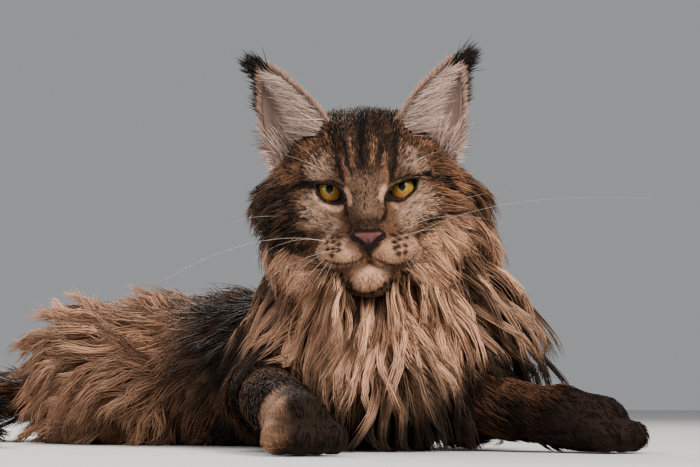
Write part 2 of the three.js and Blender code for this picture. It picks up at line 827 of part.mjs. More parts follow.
// The tail is one form, parted by thin cuts square to it
const TAIL_NAMES = ["tail_root", "tail_middle", "tail_tip"];
function tailForms(grow, cutWidth, keepOuts) {
  const mesh = { rings: 17, fan: 2, sides: 10, level: TAIL_CORE + grow };
  const cuts = [1, 2].map((n) => {
    const plate = new THREE.BoxGeometry(90, 90, cutWidth);
    const facing = new THREE.Quaternion().setFromUnitVectors(UP, tailCurve.getTangentAt(n / TAIL_LENGTHS));
    plate.applyQuaternion(facing);
    plate.translate(...tailCurve.getPointAt(n / TAIL_LENGTHS).toArray());
    return solid(plate);
  });
  const whole = cutClear(solid(wrapped(tailField, TAIL_LINE, mesh)), keepOuts);
  const pieces = cuts.reduce((left, cut) => left.subtract(cut), whole).decompose();
  pieces.sort((a, b) => b.boundingBox().max[1] - a.boundingBox().max[1]);
  return Object.fromEntries(TAIL_NAMES.map((name, i) => [name, pieces[i]]));
}

const keep = Object.fromEntries(Object.entries(FORM).map(([name, make]) => [name, make(GAP)]));
keep.head = toWorld(headKeepOut);
Object.assign(keep, tailForms(GAP, GAP / 4, []));

// Which forms a node gives way to where their flesh meets
const GIVES_WAY_TO = {
  trunk: ["head"],
  ruff: ["trunk", "head", "foreleg_right", "foreleg_left", "forepaw_right"],
  foreleg_right: ["trunk", "head"],
  foreleg_left: ["trunk", "head"],
  forepaw_right: ["foreleg_right"],
  forepaw_left: ["foreleg_left"],
  thigh_right: ["trunk"],
  thigh_left: ["trunk"],
  hindfoot_right: ["thigh_right", "trunk"],
  hindfoot_left: ["thigh_left", "trunk"],
};
const body = Object.fromEntries(
  Object.entries(GIVES_WAY_TO).map(([name, others]) => [
    name,
    cutClear(FORM[name](0), others.map((other) => keep[other])),
  ]),
);
Object.assign(body, tailForms(0, GAP, [keep.trunk, keep.thigh_right]));

// Hair joins its own body where nothing else stands, clear of every other form and of locks placed before it
let placedLocks = locksOf([]);

function dressed(name, specs) {
  const others = Object.keys(keep).filter((other) => other !== name);
  const hair = [...others.map((other) => keep[other]), floorSlab, placedLocks].reduce(
    (left, keepOut) => left.subtract(keepOut),
    locksOf(specs),
  );
  placedLocks = placedLocks.add(locksOf(specs, GAP));
  return largest(body[name].add(hair));
}

addNode("head", largest(head), TABBY_FUR, headGroup);
addNode("ruff", dressed("ruff", ruffLocks()), CREAM_FUR);
addNode("thigh_right", dressed("thigh_right", thighLocks(1)), TAN_FUR);
addNode("thigh_left", dressed("thigh_left", thighLocks(-1)), TAN_FUR);
addNode("trunk", dressed("trunk", flankLocks()), TABBY_FUR);
addNode("tail_root", dressed("tail_root", tailLocks(0)), TABBY_FUR);
addNode("tail_middle", dressed("tail_middle", tailLocks(1)), TABBY_FUR);
addNode("tail_tip", dressed("tail_tip", tailLocks(2)), BLACK_FUR);
for (const name of Object.keys(body)) {
  if (name.startsWith("fore") || name.startsWith("hindfoot")) addNode(name, body[name], TABBY_FUR);
}

export default cat;
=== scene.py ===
from itertools import product
from math import cos, pi, radians, sin

import bmesh
import bpy
import numpy as np
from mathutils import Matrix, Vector, noise


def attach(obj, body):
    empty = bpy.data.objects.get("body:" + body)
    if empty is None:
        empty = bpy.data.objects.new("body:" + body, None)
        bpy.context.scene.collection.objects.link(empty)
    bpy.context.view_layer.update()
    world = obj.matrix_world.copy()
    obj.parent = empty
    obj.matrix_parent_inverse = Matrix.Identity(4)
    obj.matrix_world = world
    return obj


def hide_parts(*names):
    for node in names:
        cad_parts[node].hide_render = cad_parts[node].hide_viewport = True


# A long-haired tabby cat, life size, lying on its breast with its head up.
# Blender's units are metres. The body's masses and hairs are worked out in millimetres, as in its drawings,
# and become metres when a mesh is made. The cat looks along -Y, +X is its left and +Z is up.
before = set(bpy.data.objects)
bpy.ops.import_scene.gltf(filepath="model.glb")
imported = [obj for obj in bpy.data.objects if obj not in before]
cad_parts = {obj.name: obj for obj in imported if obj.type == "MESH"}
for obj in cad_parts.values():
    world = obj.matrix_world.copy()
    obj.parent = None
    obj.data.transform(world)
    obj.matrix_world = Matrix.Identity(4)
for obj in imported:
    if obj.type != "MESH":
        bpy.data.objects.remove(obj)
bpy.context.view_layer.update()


# Camera
# It stands low in front of the cat, 1.5 m from its eyes, and looks up a little at its muzzle.
EYE_PLANE = 1.5
PICTURE_WIDTH = 0.476  # what the picture spans at the eyes
CAMERA_HEIGHT = 0.035
LOOKED_AT = Vector((-0.0109, -0.1, 0.1482))
camera_data = bpy.data.cameras.new("camera")
camera_data.sensor_width = 36
camera_data.lens = camera_data.sensor_width * EYE_PLANE / PICTURE_WIDTH
camera = bpy.data.objects.new("camera", camera_data)
camera.location = (LOOKED_AT.x, LOOKED_AT.y - EYE_PLANE, CAMERA_HEIGHT)
camera.rotation_euler = (LOOKED_AT - camera.location).to_track_quat("-Z", "Y").to_euler()
bpy.context.scene.collection.objects.link(camera)
bpy.context.scene.camera = camera


# Shader maths
# A finish is a material whose nodes are added by plain sums. A term is one socket of it.
class Term:
    """One socket of a finish. A sum with it adds a Math node."""

    def __init__(self, finish, socket):
        self.finish = finish
        self.socket = socket

    def maths(self, operation, *values):
        return self.finish.node("ShaderNodeMath", {"operation": operation}, dict(enumerate(values)))

    def __add__(self, other):
        return self.maths("ADD", self, other)

    def __sub__(self, other):
        return self.maths("SUBTRACT", self, other)

    def __rsub__(self, other):
        return self.maths("SUBTRACT", other, self)

    def __mul__(self, other):
        return self.maths("MULTIPLY", self, other)

    def __truediv__(self, other):
        return self.maths("DIVIDE", self, other)

    def __abs__(self):
        return self.maths("ABSOLUTE", self)

    def __pow__(self, other):
        return self.maths("POWER", self, other)

    __radd__ = __add__
    __rmul__ = __mul__


class Finish:
    """A material made of nodes."""

    def __init__(self, name):
        self.material = bpy.data.materials.new(name)
        self.material.use_nodes = True
        self.tree = self.material.node_tree
        self.tree.nodes.clear()

    def node(self, kind, settings=None, sockets=None, out=0):
        made = self.tree.nodes.new(kind)
        for name, value in (settings or {}).items():
            if name == "stops":
                while len(made.color_ramp.elements) < len(value):
                    made.color_ramp.elements.new(0.5)
                for element, (place, colour) in zip(made.color_ramp.elements, value):
                    element.position = place
                    element.color = (*colour, 1)
            else:
                setattr(made, name, value)
        for name, value in (sockets or {}).items():
            if isinstance(value, Term):
                self.tree.links.new(value.socket, made.inputs[name])
            else:
                made.inputs[name].default_value = value
        return Term(self, made.outputs[out]) if made.outputs else None

    def attribute(self, name):
        return self.node("ShaderNodeAttribute", {"attribute_name": name}, out="Fac")

    def mix(self, first, second, share):
        colours = [c if isinstance(c, Term) else (*c, 1) for c in (first, second)]
        settings = {"data_type": "RGBA", "clamp_factor": True}
        return self.node("ShaderNodeMix", settings, {0: share, 6: colours[0], 7: colours[1]}, out=2)

    def spots(self, scale, detail=2.0, vector=None):
        place = vector or self.node("ShaderNodeTexCoord", out="Object")
        return self.node("ShaderNodeTexNoise", None, {"Vector": place, "Scale": scale, "Detail": detail})

    def bump(self, strength, distance, height):
        sockets = {"Strength": strength, "Distance": distance, "Height": height}
        return self.node("ShaderNodeBump", None, sockets)

    def step(self, value, low, high):
        settings = {"interpolation_type": "SMOOTHSTEP"}
        return self.node("ShaderNodeMapRange", settings, {0: value, 1: low, 2: high})

    def surface(self, **sockets):
        sockets = {name.replace("_", " "): value for name, value in sockets.items()}
        shader = self.node("ShaderNodeBsdfPrincipled", None, sockets)
        self.node("ShaderNodeOutputMaterial", None, {"Surface": shader})
        return self.material


# Floor and light
# A pale matt floor under broad soft lamps: one high at the right, a weaker one at the left and one behind.
floor_finish = Finish("pale_floor")
grain = floor_finish.spots(9.0)
pale = floor_finish.mix((0.62, 0.61, 0.6), (0.66, 0.65, 0.64), grain)
floor_mesh = bpy.data.meshes.new("floor")
floor_mesh.from_pydata([(-6, -6, 0), (6, -6, 0), (6, 6, 0), (-6, 6, 0)], [], [(0, 1, 2, 3)])
floor_mesh.materials.append(floor_finish.surface(Base_Color=pale, Roughness=0.85))
floor = bpy.data.objects.new("floor", floor_mesh)
bpy.context.scene.collection.objects.link(floor)

world = bpy.data.worlds.new("studio")
world.use_nodes = True
world.node_tree.nodes["Background"].inputs[0].default_value = (0.9, 0.92, 0.95, 1)
world.node_tree.nodes["Background"].inputs[1].default_value = 0.36
bpy.context.scene.world = world

LAMPS_AIM = Vector((-0.05, 0, 0.12))
LAMPS = {
    "key_lamp": {"at": (0.75, -1.25, 1.25), "size": 0.7, "watts": 54, "colour": (1, 0.95, 0.88)},
    "fill_lamp": {"at": (-1.3, -1.0, 0.7), "size": 1.1, "watts": 11, "colour": (0.95, 0.97, 1)},
    "rim_lamp": {"at": (-0.7, 1.2, 1.1), "size": 0.7, "watts": 30, "colour": (1, 0.93, 0.85)},
}
for name, lamp in LAMPS.items():
    lamp_data = bpy.data.lights.new(name, "AREA")
    lamp_data.size = lamp["size"]
    lamp_data.energy = lamp["watts"]
    lamp_data.color = lamp["colour"]
    lamp_object = bpy.data.objects.new(name, lamp_data)
    lamp_object.location = lamp["at"]
    lamp_object.rotation_euler = (LAMPS_AIM - lamp_object.location).to_track_quat("-Z", "Y").to_euler()
    bpy.context.scene.collection.objects.link(lamp_object)


# Body
# The cat's flesh is built of rounded masses that run into each other, each a field that is negative inside.
# Its skin is one closed surface, finer on the head, under the coat of every part.
def points_of(*rows):
    return np.array(rows, float)


def rod(a, b, ra, rb, tall=1.0):
    """A tapered rod from a to b. tall stretches its section upwards."""
    a, b = points_of(a, b)
    along = b - a

    def field(p):
        q = p - a
        t = np.clip(q @ along / (along @ along), 0, 1)
        q = q - t[:, None] * along
        q[:, 2] /= tall
        return np.linalg.norm(q, axis=1) - (ra + (rb - ra) * t)

    return field


def egg(centre, *radii):
    centre, radii = points_of(centre, radii)

    def field(p):
        q = p - centre
        near = np.linalg.norm(q / radii, axis=1)
        slope = np.maximum(np.linalg.norm(q / radii**2, axis=1), 1e-9)
        return near * (near - 1) / slope

    return field


def blend(k, *masses):
    """Masses joined with fillets about k wide."""

    def field(p):
        total = masses[0](p)
        for mass in masses[1:]:
            d = mass(p)
            h = np.maximum(k - np.abs(total - d), 0) / k
            total = np.minimum(total, d) - h * h * k / 4
        return total

    return field


def unit(vectors):
    return vectors / np.maximum(np.linalg.norm(vectors, axis=-1, keepdims=True), 1e-9)


def laid(direction, out):
    """A direction laid flat on the surface."""
    return unit(direction - np.sum(direction * out, axis=-1, keepdims=True) * out)


def ramp(value, low, high):
    t = np.clip((value - low) / (high - low), 0, 1)
    return t * t * (3 - 2 * t)


BOTH_SIDES = (1, -1)
NAMED_SIDES = ((1, "left"), (-1, "right"))
UP = np.array((0.0, 0, 1))
CRANIUM = egg((0, 38, 8), 46, 45, 39)
BROW = egg((0, 20, 13), 37, 25, 21)
BRIDGE = rod((0, 4, 2), (0, -34, -21), 16, 10)
CHIN = egg((0, -24, -57), 18, 17, 12)
JAW = rod((0, -12, -54), (0, 40, -42), 16, 26)
SKULL_BACK = rod((0, 46, -6), (0, 50, -22), 38, 38)
face_masses = blend(
    11,
    CRANIUM,
    BROW,
    BRIDGE,
    JAW,
    SKULL_BACK,
    *[egg((side * 37, 30, -17), 25, 32, 27) for side in BOTH_SIDES],
    *[egg((side * 34, 34, -38), 24, 30, 24) for side in BOTH_SIDES],
    *[rod((side * 27, 15, -15), (side * 13, -16, -31), 17, 12) for side in BOTH_SIDES],
    *[rod((side * 36, 42, 20), (side * 47, 42, 0), 15, 17) for side in BOTH_SIDES],
)
head_masses = blend(
    5,
    face_masses,
    *[egg((side * 25, 12.5, 0), 13, 11.5, 11.5) for side in BOTH_SIDES],
    *[rod((side * 12, 6, 9), (side * 33, 12, 14), 9, 10) for side in BOTH_SIDES],
    *[egg((side * 15.5, -20, -38.5), 20, 22, 13.5) for side in BOTH_SIDES],
    CHIN,
)

# The head's own frame: middle of the eyes at the origin, nodded down and rolled to one side
EYES_MIDDLE = np.array((0.0, -100, 177))
nod, roll = radians(9.5), radians(-2.3)
HEAD_TURN = np.array(((1, 0, 0), (0, cos(nod), -sin(nod)), (0, sin(nod), cos(nod)))) @ np.array(
    ((cos(roll), 0, sin(roll)), (0, 1, 0), (-sin(roll), 0, cos(roll)))
)


def to_head(p):
    return (p - EYES_MIDDLE) @ HEAD_TURN


def from_head(q):
    return q @ HEAD_TURN.T + EYES_MIDDLE


EYE_X, EYE_Y = 25, 11
EYE_PLACES = points_of((EYE_X, EYE_Y, 0), (-EYE_X, EYE_Y, 0))
BARE_DEPTH = 2.3  # the skin rises this far round the eyes, where the coat is shortest


def near_eyes(q, reach):
    nearest = np.min([np.linalg.norm((q - eye) * (1, 0.5, 1), axis=1) for eye in EYE_PLACES], axis=0)
    return np.exp(-((nearest / reach) ** 2))


def head(p):
    q = to_head(p)
    return head_masses(q) - BARE_DEPTH * near_eyes(q, 17)


BREAST, BARREL, LOIN, RUMP = points_of((2, 6, 64), (-85, 115, 57), (-160, 205, 60), (-203, 258, 56))
AHEAD = unit((BREAST - RUMP) * (1, 1, 0))
SIDEWAYS = np.array((AHEAD[1], -AHEAD[0], 0))  # to the cat's right
trunk = blend(
    22,
    rod(BREAST, BARREL, 57, 50, 1.03),
    rod(BARREL, LOIN, 50, 50),
    rod(LOIN, RUMP, 50, 47),
    rod((0, 5, 122), (-36, 52, 104), 24, 20),
)


def by_hip(side, ahead, out, up):
    """A point beside the hips. side is 1 at the cat's right."""
    hip = LOIN + 0.55 * (RUMP - LOIN)
    return np.array((*hip[:2], up)) + AHEAD * ahead + SIDEWAYS * side * out


def thigh(side):
    return blend(
        16,
        rod(by_hip(side, -8, 34, 62), by_hip(side, 88, 44, 42), 46, 30),
        rod(by_hip(side, 86, 46, 34), by_hip(side, -10, 62, 24), 24, 15),
    )


TOES = (-1.5, -0.5, 0.5, 1.5)


def hind_foot(side):
    toes = [
        rod(by_hip(side, 62, 64 + 8 * toe, 13), by_hip(side, 78 - 2 * toe * toe, 64 + 9 * toe, 9), 8, 8)
        for toe in TOES
    ]
    return blend(4, rod(by_hip(side, -18, 66, 16), by_hip(side, 60, 64, 12), 13, 12), *toes)


FORELEGS = {
    "right": points_of((-44, -20, 84), (-70, -52, 40), (-53, -168, 27), (-43, -206, 19)),
    "left": points_of((50, -18, 82), (68, -56, 34), (128, -118, 24), (153, -137, 18)),
}


def foreleg(shoulder, elbow, wrist, paw):
    return blend(12, rod(shoulder, elbow, 33, 25), rod(elbow, wrist, 22, 16.5), rod(wrist, paw, 17, 18))


def forepaw(shoulder, elbow, wrist, paw):
    ahead = unit((paw - wrist) * (1, 1, 0))
    aside = np.array((ahead[1], -ahead[0], 0))

    def toe_at(toe, reach, up):
        return np.array((*paw[:2], up)) + ahead * reach + aside * toe * 11.5

    toes = [rod(toe_at(0.75 * toe, -2, 17), toe_at(toe, 22 - 3 * toe * toe, 11), 9, 10.5) for toe in TOES]
    return blend(3, rod(wrist, paw, 17, 19), *toes)


TAIL_LINE = points_of(
    RUMP * (1, 1, 0) - AHEAD * 44 + UP * 48,
    (-292, 322, 37),
    (-338, 292, 32),
    (-351, 220, 30),
    (-336, 148, 29),
    (-311, 90, 27),
    (-290, 48, 23),
)
tail = blend(
    6, *[rod(TAIL_LINE[i], TAIL_LINE[i + 1], 14 - 0.7 * i, 13 - 0.7 * i) for i in range(len(TAIL_LINE) - 1)]
)

RUFF_DEPTH = 15  # how deep the roots of the ruff lie under its outer face
ruff_masses = blend(
    18,
    rod((-30, -32, 168), (-24, -34, 96), 43, 49),
    rod((41, -32, 166), (60, -34, 92), 45, 52),
    rod((2, -70, 112), (16, -82, 52), 34, 44),
    rod((0, -16, 176), (-4, 4, 116), 34, 42),
)


def ruff(p):
    return ruff_masses(p) + RUFF_DEPTH


PARTS = {
    "head": head,
    "ruff": ruff,
    "trunk": trunk,
    "thigh_right": thigh(1),
    "thigh_left": thigh(-1),
    "foot_right": hind_foot(1),
    "foot_left": hind_foot(-1),
    "foreleg_right": foreleg(*FORELEGS["right"]),
    "foreleg_left": foreleg(*FORELEGS["left"]),
    "forepaw_right": forepaw(*FORELEGS["right"]),
    "forepaw_left": forepaw(*FORELEGS["left"]),
    "tail": tail,
}
FLOOR_CLEARANCE = 1.0
FLOOR_GAP = 0.3  # under the lowest hair
all_flesh = blend(7, *PARTS.values())


def flesh(p):
    """The whole body, flattened where it rests on the floor."""
    return np.maximum(all_flesh(p), FLOOR_CLEARANCE - p[:, 2])


BLOCK = 8


def surface_of(field, low, high, cell):
    """The closed surface where a field is zero: a point in each cell it crosses, a face at each edge."""
    low = np.array(low, float)
    counts = (np.ceil((np.array(high) - low) / cell / BLOCK) * BLOCK).astype(int)
    values = np.full(counts + 1, 1e3)
    starts = np.array(list(product(*[range(0, n, BLOCK) for n in counts])))
    depth = field(low + (starts + BLOCK / 2) * cell)
    near = np.abs(depth) < 1.15 * BLOCK * cell
    for x, y, z in starts[~near & (depth < 0)]:
        values[x : x + BLOCK + 1, y : y + BLOCK + 1, z : z + BLOCK + 1] = -1e3
    steps = np.array(list(product(range(BLOCK + 1), repeat=3)))
    lattice = (starts[near][:, None] + steps[None]).reshape(-1, 3)
    values[tuple(lattice.T)] = field(low + lattice * cell)

    inside = values < 0
    corners = np.array(list(product((0, 1), repeat=3)))
    m, n, o = counts
    share = sum(inside[i : i + m, j : j + n, k : k + o].astype(int) for i, j, k in corners)
    crossed = (share > 0) & (share < 8)
    cells = np.argwhere(crossed)
    number = np.full(crossed.shape, -1)
    number[crossed] = np.arange(len(cells))
    total = np.zeros((len(cells), 3))
    hits = np.zeros(len(cells))
    for a, b in product(corners, repeat=2):
        if np.sum(b - a) != 1 or np.any(b < a):
            continue
        va = values[tuple((cells + a).T)]
        vb = values[tuple((cells + b).T)]
        cut = (va < 0) != (vb < 0)
        t = np.where(cut, va / np.where(cut, va - vb, 1), 0)
        total += cut[:, None] * (a + t[:, None] * (b - a))
        hits += cut
    points = low + cell * (cells + total / hits[:, None])

    quads = []
    for axis in range(3):
        one, two = np.eye(3, dtype=int)[[(axis + 1) % 3, (axis + 2) % 3]]
        edges = np.argwhere(np.diff(inside, axis=axis))
        edges = edges[np.all(edges - one - two >= 0, axis=1)]
        edges = edges[np.all(edges < counts, axis=1)]
        ring = [number[tuple((edges - a).T)] for a in (one + two, two, 0 * one, one)]
        ring = np.stack(ring, axis=1)
        outward = inside[tuple(edges.T)]
        quads.append(np.where(outward[:, None], ring, ring[:, ::-1]))
    return points, np.concatenate(quads)


def slope_of(field, p, e=0.6):
    return unit(np.stack([field(p + e * axis) - field(p - e * axis) for axis in np.eye(3)], axis=1))


def settled(field, p):
    """Points moved onto the surface of a field."""
    for _ in range(2):
        p = p - slope_of(field, p) * field(p)[:, None]
    return p


MM = 0.001


def piece_from(name, points, faces, finish, attributes=None, uv=None):
    """A smooth object from points in millimetres and rows of corners."""
    mesh = bpy.data.meshes.new(name)
    faces = np.asarray(faces, dtype=np.int32)
    sides = faces.shape[1]
    mesh.vertices.add(len(points))
    mesh.vertices.foreach_set("co", (np.asarray(points) * MM).astype(np.float32).ravel())
    mesh.loops.add(faces.size)
    mesh.polygons.add(len(faces))
    mesh.polygons.foreach_set("loop_start", np.arange(0, faces.size, sides, dtype=np.int32))
    mesh.polygons.foreach_set("vertices", faces.ravel())
    mesh.update(calc_edges=True)
    mesh.shade_smooth()
    for key, values in (attributes or {}).items():
        layer = mesh.attributes.new(key, "FLOAT", "POINT")
        layer.data.foreach_set("value", np.asarray(values, np.float32).ravel())
    if uv is not None:
        layer = mesh.uv_layers.new(name="OFBake")
        layer.uv.foreach_set("vector", np.asarray(uv, np.float32)[faces.ravel()].ravel())
    mesh.materials.append(finish)
    made = bpy.data.objects.new(name, mesh)
    bpy.context.scene.collection.objects.link(made)
    return made


SKIN_CELL = 3.4
skin_points, skin_quads = surface_of(flesh, (-385, -256, -5), (190, 362, 250), SKIN_CELL)
rough = bpy.data.meshes.new("rough_skin")
rough.from_pydata(skin_points, [], skin_quads.tolist())
fine = bmesh.new()
fine.from_mesh(rough)
FACE_BACK = 24  # the skin is finer ahead of this, in the head's frame
in_face = [to_head(np.array([v.co]))[0] for v in fine.verts]
in_face = [bool(q[1] < FACE_BACK and -78 < q[2] < 62 and abs(q[0]) < 72) for q in in_face]
face_edges = [e for e in fine.edges if all(in_face[v.index] for v in e.verts)]
bmesh.ops.subdivide_edges(fine, edges=face_edges, cuts=2, use_grid_fill=True)
bmesh.ops.triangulate(fine, faces=fine.faces)
fine.to_mesh(rough)
fine.free()
skin_points = np.empty(len(rough.vertices) * 3, np.float32)
rough.vertices.foreach_get("co", skin_points)
skin_points = settled(flesh, skin_points.reshape(-1, 3).astype(float))
skin_faces = np.empty(len(rough.polygons) * 3, np.int32)
rough.polygons.foreach_get("vertices", skin_faces)
skin_faces = skin_faces.reshape(-1, 3)
bpy.data.meshes.remove(rough)


def normals_of(points, faces):
    a, b, c = points[faces].transpose(1, 0, 2)
    total = np.zeros_like(points)
    for corner in range(3):
        np.add.at(total, faces[:, corner], np.cross(b - a, c - a))
    return unit(total)


skin_out = normals_of(skin_points, skin_faces)


def to_segments(p, line):
    """Distance from each point to a line of joined straight pieces."""
    line = np.asarray(line, float)
    best = np.full(len(p), 1e9)
    for a, b in zip(line[:-1], line[1:]):
        along = b - a
        t = np.clip((p - a) @ along / max(along @ along, 1e-9), 0, 1)
        best = np.minimum(best, np.linalg.norm(p - a - t[:, None] * along, axis=1))
    return best


def reached(field, starts, rays, level):
    """The first point along each ray where a field has a level."""
    t = np.zeros(len(starts))
    for _ in range(90):
        t += np.maximum(0.8 * (level - field(starts + rays * t[:, None])), 0)
    return starts + rays * t[:, None]


def on_face(x, z, level=0.0):
    """Points of the face ahead of the skull's middle, in the head's frame."""
    starts = np.stack([np.asarray(x, float), np.full(len(x), 8.0), np.asarray(z, float)], axis=1)
    return reached(head_masses, starts, np.array((0.0, -1, 0)), level)


# Each eye's lids: their edge in the coat, and their opening on the ball, out from its middle and up
EYEBALL = 11.2
LID_EDGES = {
    1: points_of(
        (10.3, 7.2), (4.2, 7.4), (-0.4, 5.9), (-5, 4.2), (-9.1, 1), (-11.2, -3.6), (-5.4, -5.8), (-0.3, -6.2),
        (3.4, -4.4), (8, -0.7), (9.8, 3.4),
    ),
    -1: points_of(
        (9.6, 6.2), (4.6, 6.6), (-0.1, 6.2), (-4.2, 5.2), (-7.6, 2.8), (-9.8, -0.4), (-9.6, -4), (-5.8, -6.3),
        (-1, -6.4), (3.7, -4.9), (7.1, -1.7), (9, 2.9),
    ),
}
OPENINGS = {
    1: points_of(
        (7.9, 5.9), (3.7, 5.7), (-0.9, 4.7), (-4.9, 2.8), (-7.8, 0), (-6.8, -2.8), (-4.1, -5.1), (-0.1, -5.6),
        (3.4, -3.4), (7.5, 0), (8.7, 3.1),
    ),
    -1: points_of(
        (6.9, 5.2), (2.7, 5.5), (-1.4, 5.1), (-4.7, 3.5), (-7, 0.7), (-7.2, -2.8), (-5, -5), (-0.9, -5.7),
        (3.1, -4.3), (6, -1.1), (7.1, 2.6),
    ),
}
LID_MIDDLE = np.array((0.0, 0.2))


def smooth_loop(points, count):
    """A smooth closed curve through points, as corners at even turns about the lids' middle."""
    spots = np.linspace(0, len(points), 360, endpoint=False)
    i = spots.astype(int)
    t = (spots - i)[:, None]
    a, b, c, d = [points[(i + k) % len(points)] for k in (-1, 0, 1, 2)]
    bend, twist = 2 * a - 5 * b + 4 * c - d, 3 * b - a - 3 * c + d
    fine_loop = 0.5 * (2 * b + (c - a) * t + bend * t**2 + twist * t**3)
    arms = fine_loop - LID_MIDDLE
    turns = np.linspace(-pi, pi, count, endpoint=False)
    reach = np.interp(turns, np.arctan2(arms[:, 1], arms[:, 0]), np.hypot(*arms.T), period=2 * pi)
    return LID_MIDDLE + reach[:, None] * np.stack([np.cos(turns), np.sin(turns)], axis=1)


def inside_lids(q, widen):
    """Whether points of the face lie within the lids' edges, a little widened."""
    found = np.zeros(len(q), bool)
    for side in BOTH_SIDES:
        loop = LID_MIDDLE + (smooth_loop(LID_EDGES[side], 72) - LID_MIDDLE) * widen
        x = q[:, 0] * side - EYE_X
        z = q[:, 2]
        within = np.zeros(len(q), bool)
        for (ax, az), (bx, bz) in zip(loop, np.roll(loop, -1, axis=0)):
            spans = (az > z) != (bz > z)
            edge = ax + (z - az) * (bx - ax) / (bz - az if bz != az else 1e-9)
            within ^= spans & (x < edge)
        found |= within & (q[:, 1] < 14)
    return found


def ball_front(off_axis):
    """How far back the eyeball's surface lies, at a distance from its axis."""
    return EYE_Y - np.sqrt(EYEBALL**2 - np.minimum(off_axis, EYEBALL - 1.2) ** 2)


# The mouth runs from under the nose round the lower edge of each whisker pad to its corners
MOUTH_POINTS = ((0, -43.5), (7, -47.5), (16, -50), (26, -48.5), (34, -44))
MOUTH_LINES = {}
for side in BOTH_SIDES:
    starts = points_of(*[(side * x * 0.6, 8, z) for x, z in MOUTH_POINTS])
    through = points_of(*[(side * x, -40 + x * 0.55, z) for x, z in MOUTH_POINTS])
    MOUTH_LINES[side] = reached(head_masses, starts, unit(through - starts), 0)
PHILTRUM = on_face((0, 0, 0), (-36, -40, -44))

in_head = to_head(skin_points)
ahead_of_skull = in_head[:, 1] < 20
groove = np.full(len(in_head), 1e9)
for line in (*MOUTH_LINES.values(), PHILTRUM):
    groove[ahead_of_skull] = np.minimum(groove[ahead_of_skull], to_segments(in_head[ahead_of_skull], line))
skin_points = skin_points - skin_out * (2.4 * np.exp(-((groove / 1.5) ** 2)))[:, None]
behind_lids = inside_lids(in_head, 1.0)
q = in_head[behind_lids]
deeper = np.maximum(ball_front(np.hypot(np.abs(q[:, 0]) - EYE_X, q[:, 2])) + 2.6 - q[:, 1], 3.0)
skin_points[behind_lids] += deeper[:, None] * HEAD_TURN[:, 1]
skin_out = normals_of(skin_points, skin_faces)


# Markings
# The tabby pattern, the same on the skin and on the hairs that root in it. Lines on the head are in its own
# frame, as drawn on the coat: (line, half width) or (middle, radius).
DARK_LINES = (
    (((0, 30, 50), (-1, 20, 47), (-2, 2, 38)), 5.0),
    (((-2, 2, 38), (-2, -7, 28), (-2, -11, 22)), 3.0),
    (((12, 33, 49), (11, -4, 31), (16, -8, 21), (19, -10, 10)), 1.8),
    (((-17, 12, 42), (-13, -3, 31), (-12, -13, 14)), 1.7),
    (((-24, 22, 42), (-21, 5, 35), (-19, -6, 22), (-17, -11, 10)), 2.2),
    (((24, 22, 42), (22, 3, 34), (22, -6, 21), (19, -10, 9)), 2.2),
    (((1, -11, 22), (0, -19, 9), (-2, -37, -6)), 1.0),
    (((-34, -3, 7), (-30, -4, 8), (-22, -8, 8), (-15, -14, 3), (-14, -20, -2)), 1.3),
    (((36, -2, 10), (29, -5, 10), (22, -8, 8), (15, -15, 4)), 1.2),
    (((-34, -3, 6), (-43, 3, 7), (-52, 14, 6), (-61, 19, -2), (-66, 30, -12)), 2.6),
    (((35, -2, 9), (44, 4, 10), (54, 20, 9), (60, 21, 3), (64, 23, -4)), 2.2),
    (((-18, -17, -7), (-18.5, -21, -11), (-17, -30, -17), (-15, -34, -21)), 2.6),
    (((16, -20, -5), (17.5, -21, -10), (16, -29, -15), (12, -39, -17)), 2.5),
    (((-46, -2, -29), (-56, 6, -26), (-64, 20, -22)), 3.0),
    (((-45, 1, -38), (-57, 12, -39), (-66, 26, -38)), 3.6),
    (((-42, -7, -19), (-52, 0, -13), (-65, 26, -9)), 1.6),
    (((-47, 6, -47), (-58, 29, -50)), 3.4),
    (((45, -4, -22), (57, 4, -19), (66, 18, -15)), 2.0),
    (((46, 0, -34), (56, 8, -33), (66, 22, -30)), 2.6),
    (((45, 3, -42), (56, 15, -45)), 2.6),
    (((-13, -40, -24), (-7, -45, -23), (-1, -47, -23), (5, -46, -24), (11, -42, -24)), 1.6),
    (((-13, -40, -24), (-11, -41, -28)), 1.2),
    (((11, -41, -24), (10, -42, -27)), 1.2),
    (((-1, -40, -43), (-7, -42, -46), (-15, -42, -47), (-24, -41, -47), (-31, -37, -44)), 1.4),
    (((-1, -40, -43), (4, -41, -46), (10, -41, -48), (18, -39, -50), (26, -37, -49), (33, -35, -44)), 1.4),
    (((-32, 7, -55), (-27, 17, -62), (-20, -30, -61)), 4.2),
    (((30, 8, -56), (23, 14, -61), (17, -37, -59)), 3.4),
    # the crescent right under the chin is painted shadow of the chin
    (((-16, -37, -59), (-13, -36, -66), (-5, -37, -68), (3, -39, -67), (12, -40, -61)), 2.6),
)
TAN_LINES = (
    (((6, 5, 40), (7, -6, 29), (5, -11, 21)), 2.3), (((-10, 5, 39), (-10, -5, 30), (-9, -11, 20)), 2.0),
    (((15, -6, 27), (14, -11, 17), (16, -12, 10)), 1.8),
    (((-16, -5, 27), (-15, -10, 18), (-13, -14, 10)), 1.8),
)
CREAM_LINES = (
    (((-15.5, -15, 2), (-14.8, -19, -1), (-14.2, -23, -4)), 3.2),
    (((15, -16, 4), (13, -19, 1), (12, -23, -2)), 3.2),
    (((-36, -3, 1), (-31, -7, -5), (-26, -11, -7.5), (-20, -15, -8)), 2.2),
    (((20, -14, -5), (22, -15, -8)), 2.4), (((-12, -43, -31), (-8, -44, -35), (-6, -43, -40)), 4),
    (((10, -44, -33), (6, -43, -37), (3, -42, -40)), 4),
)
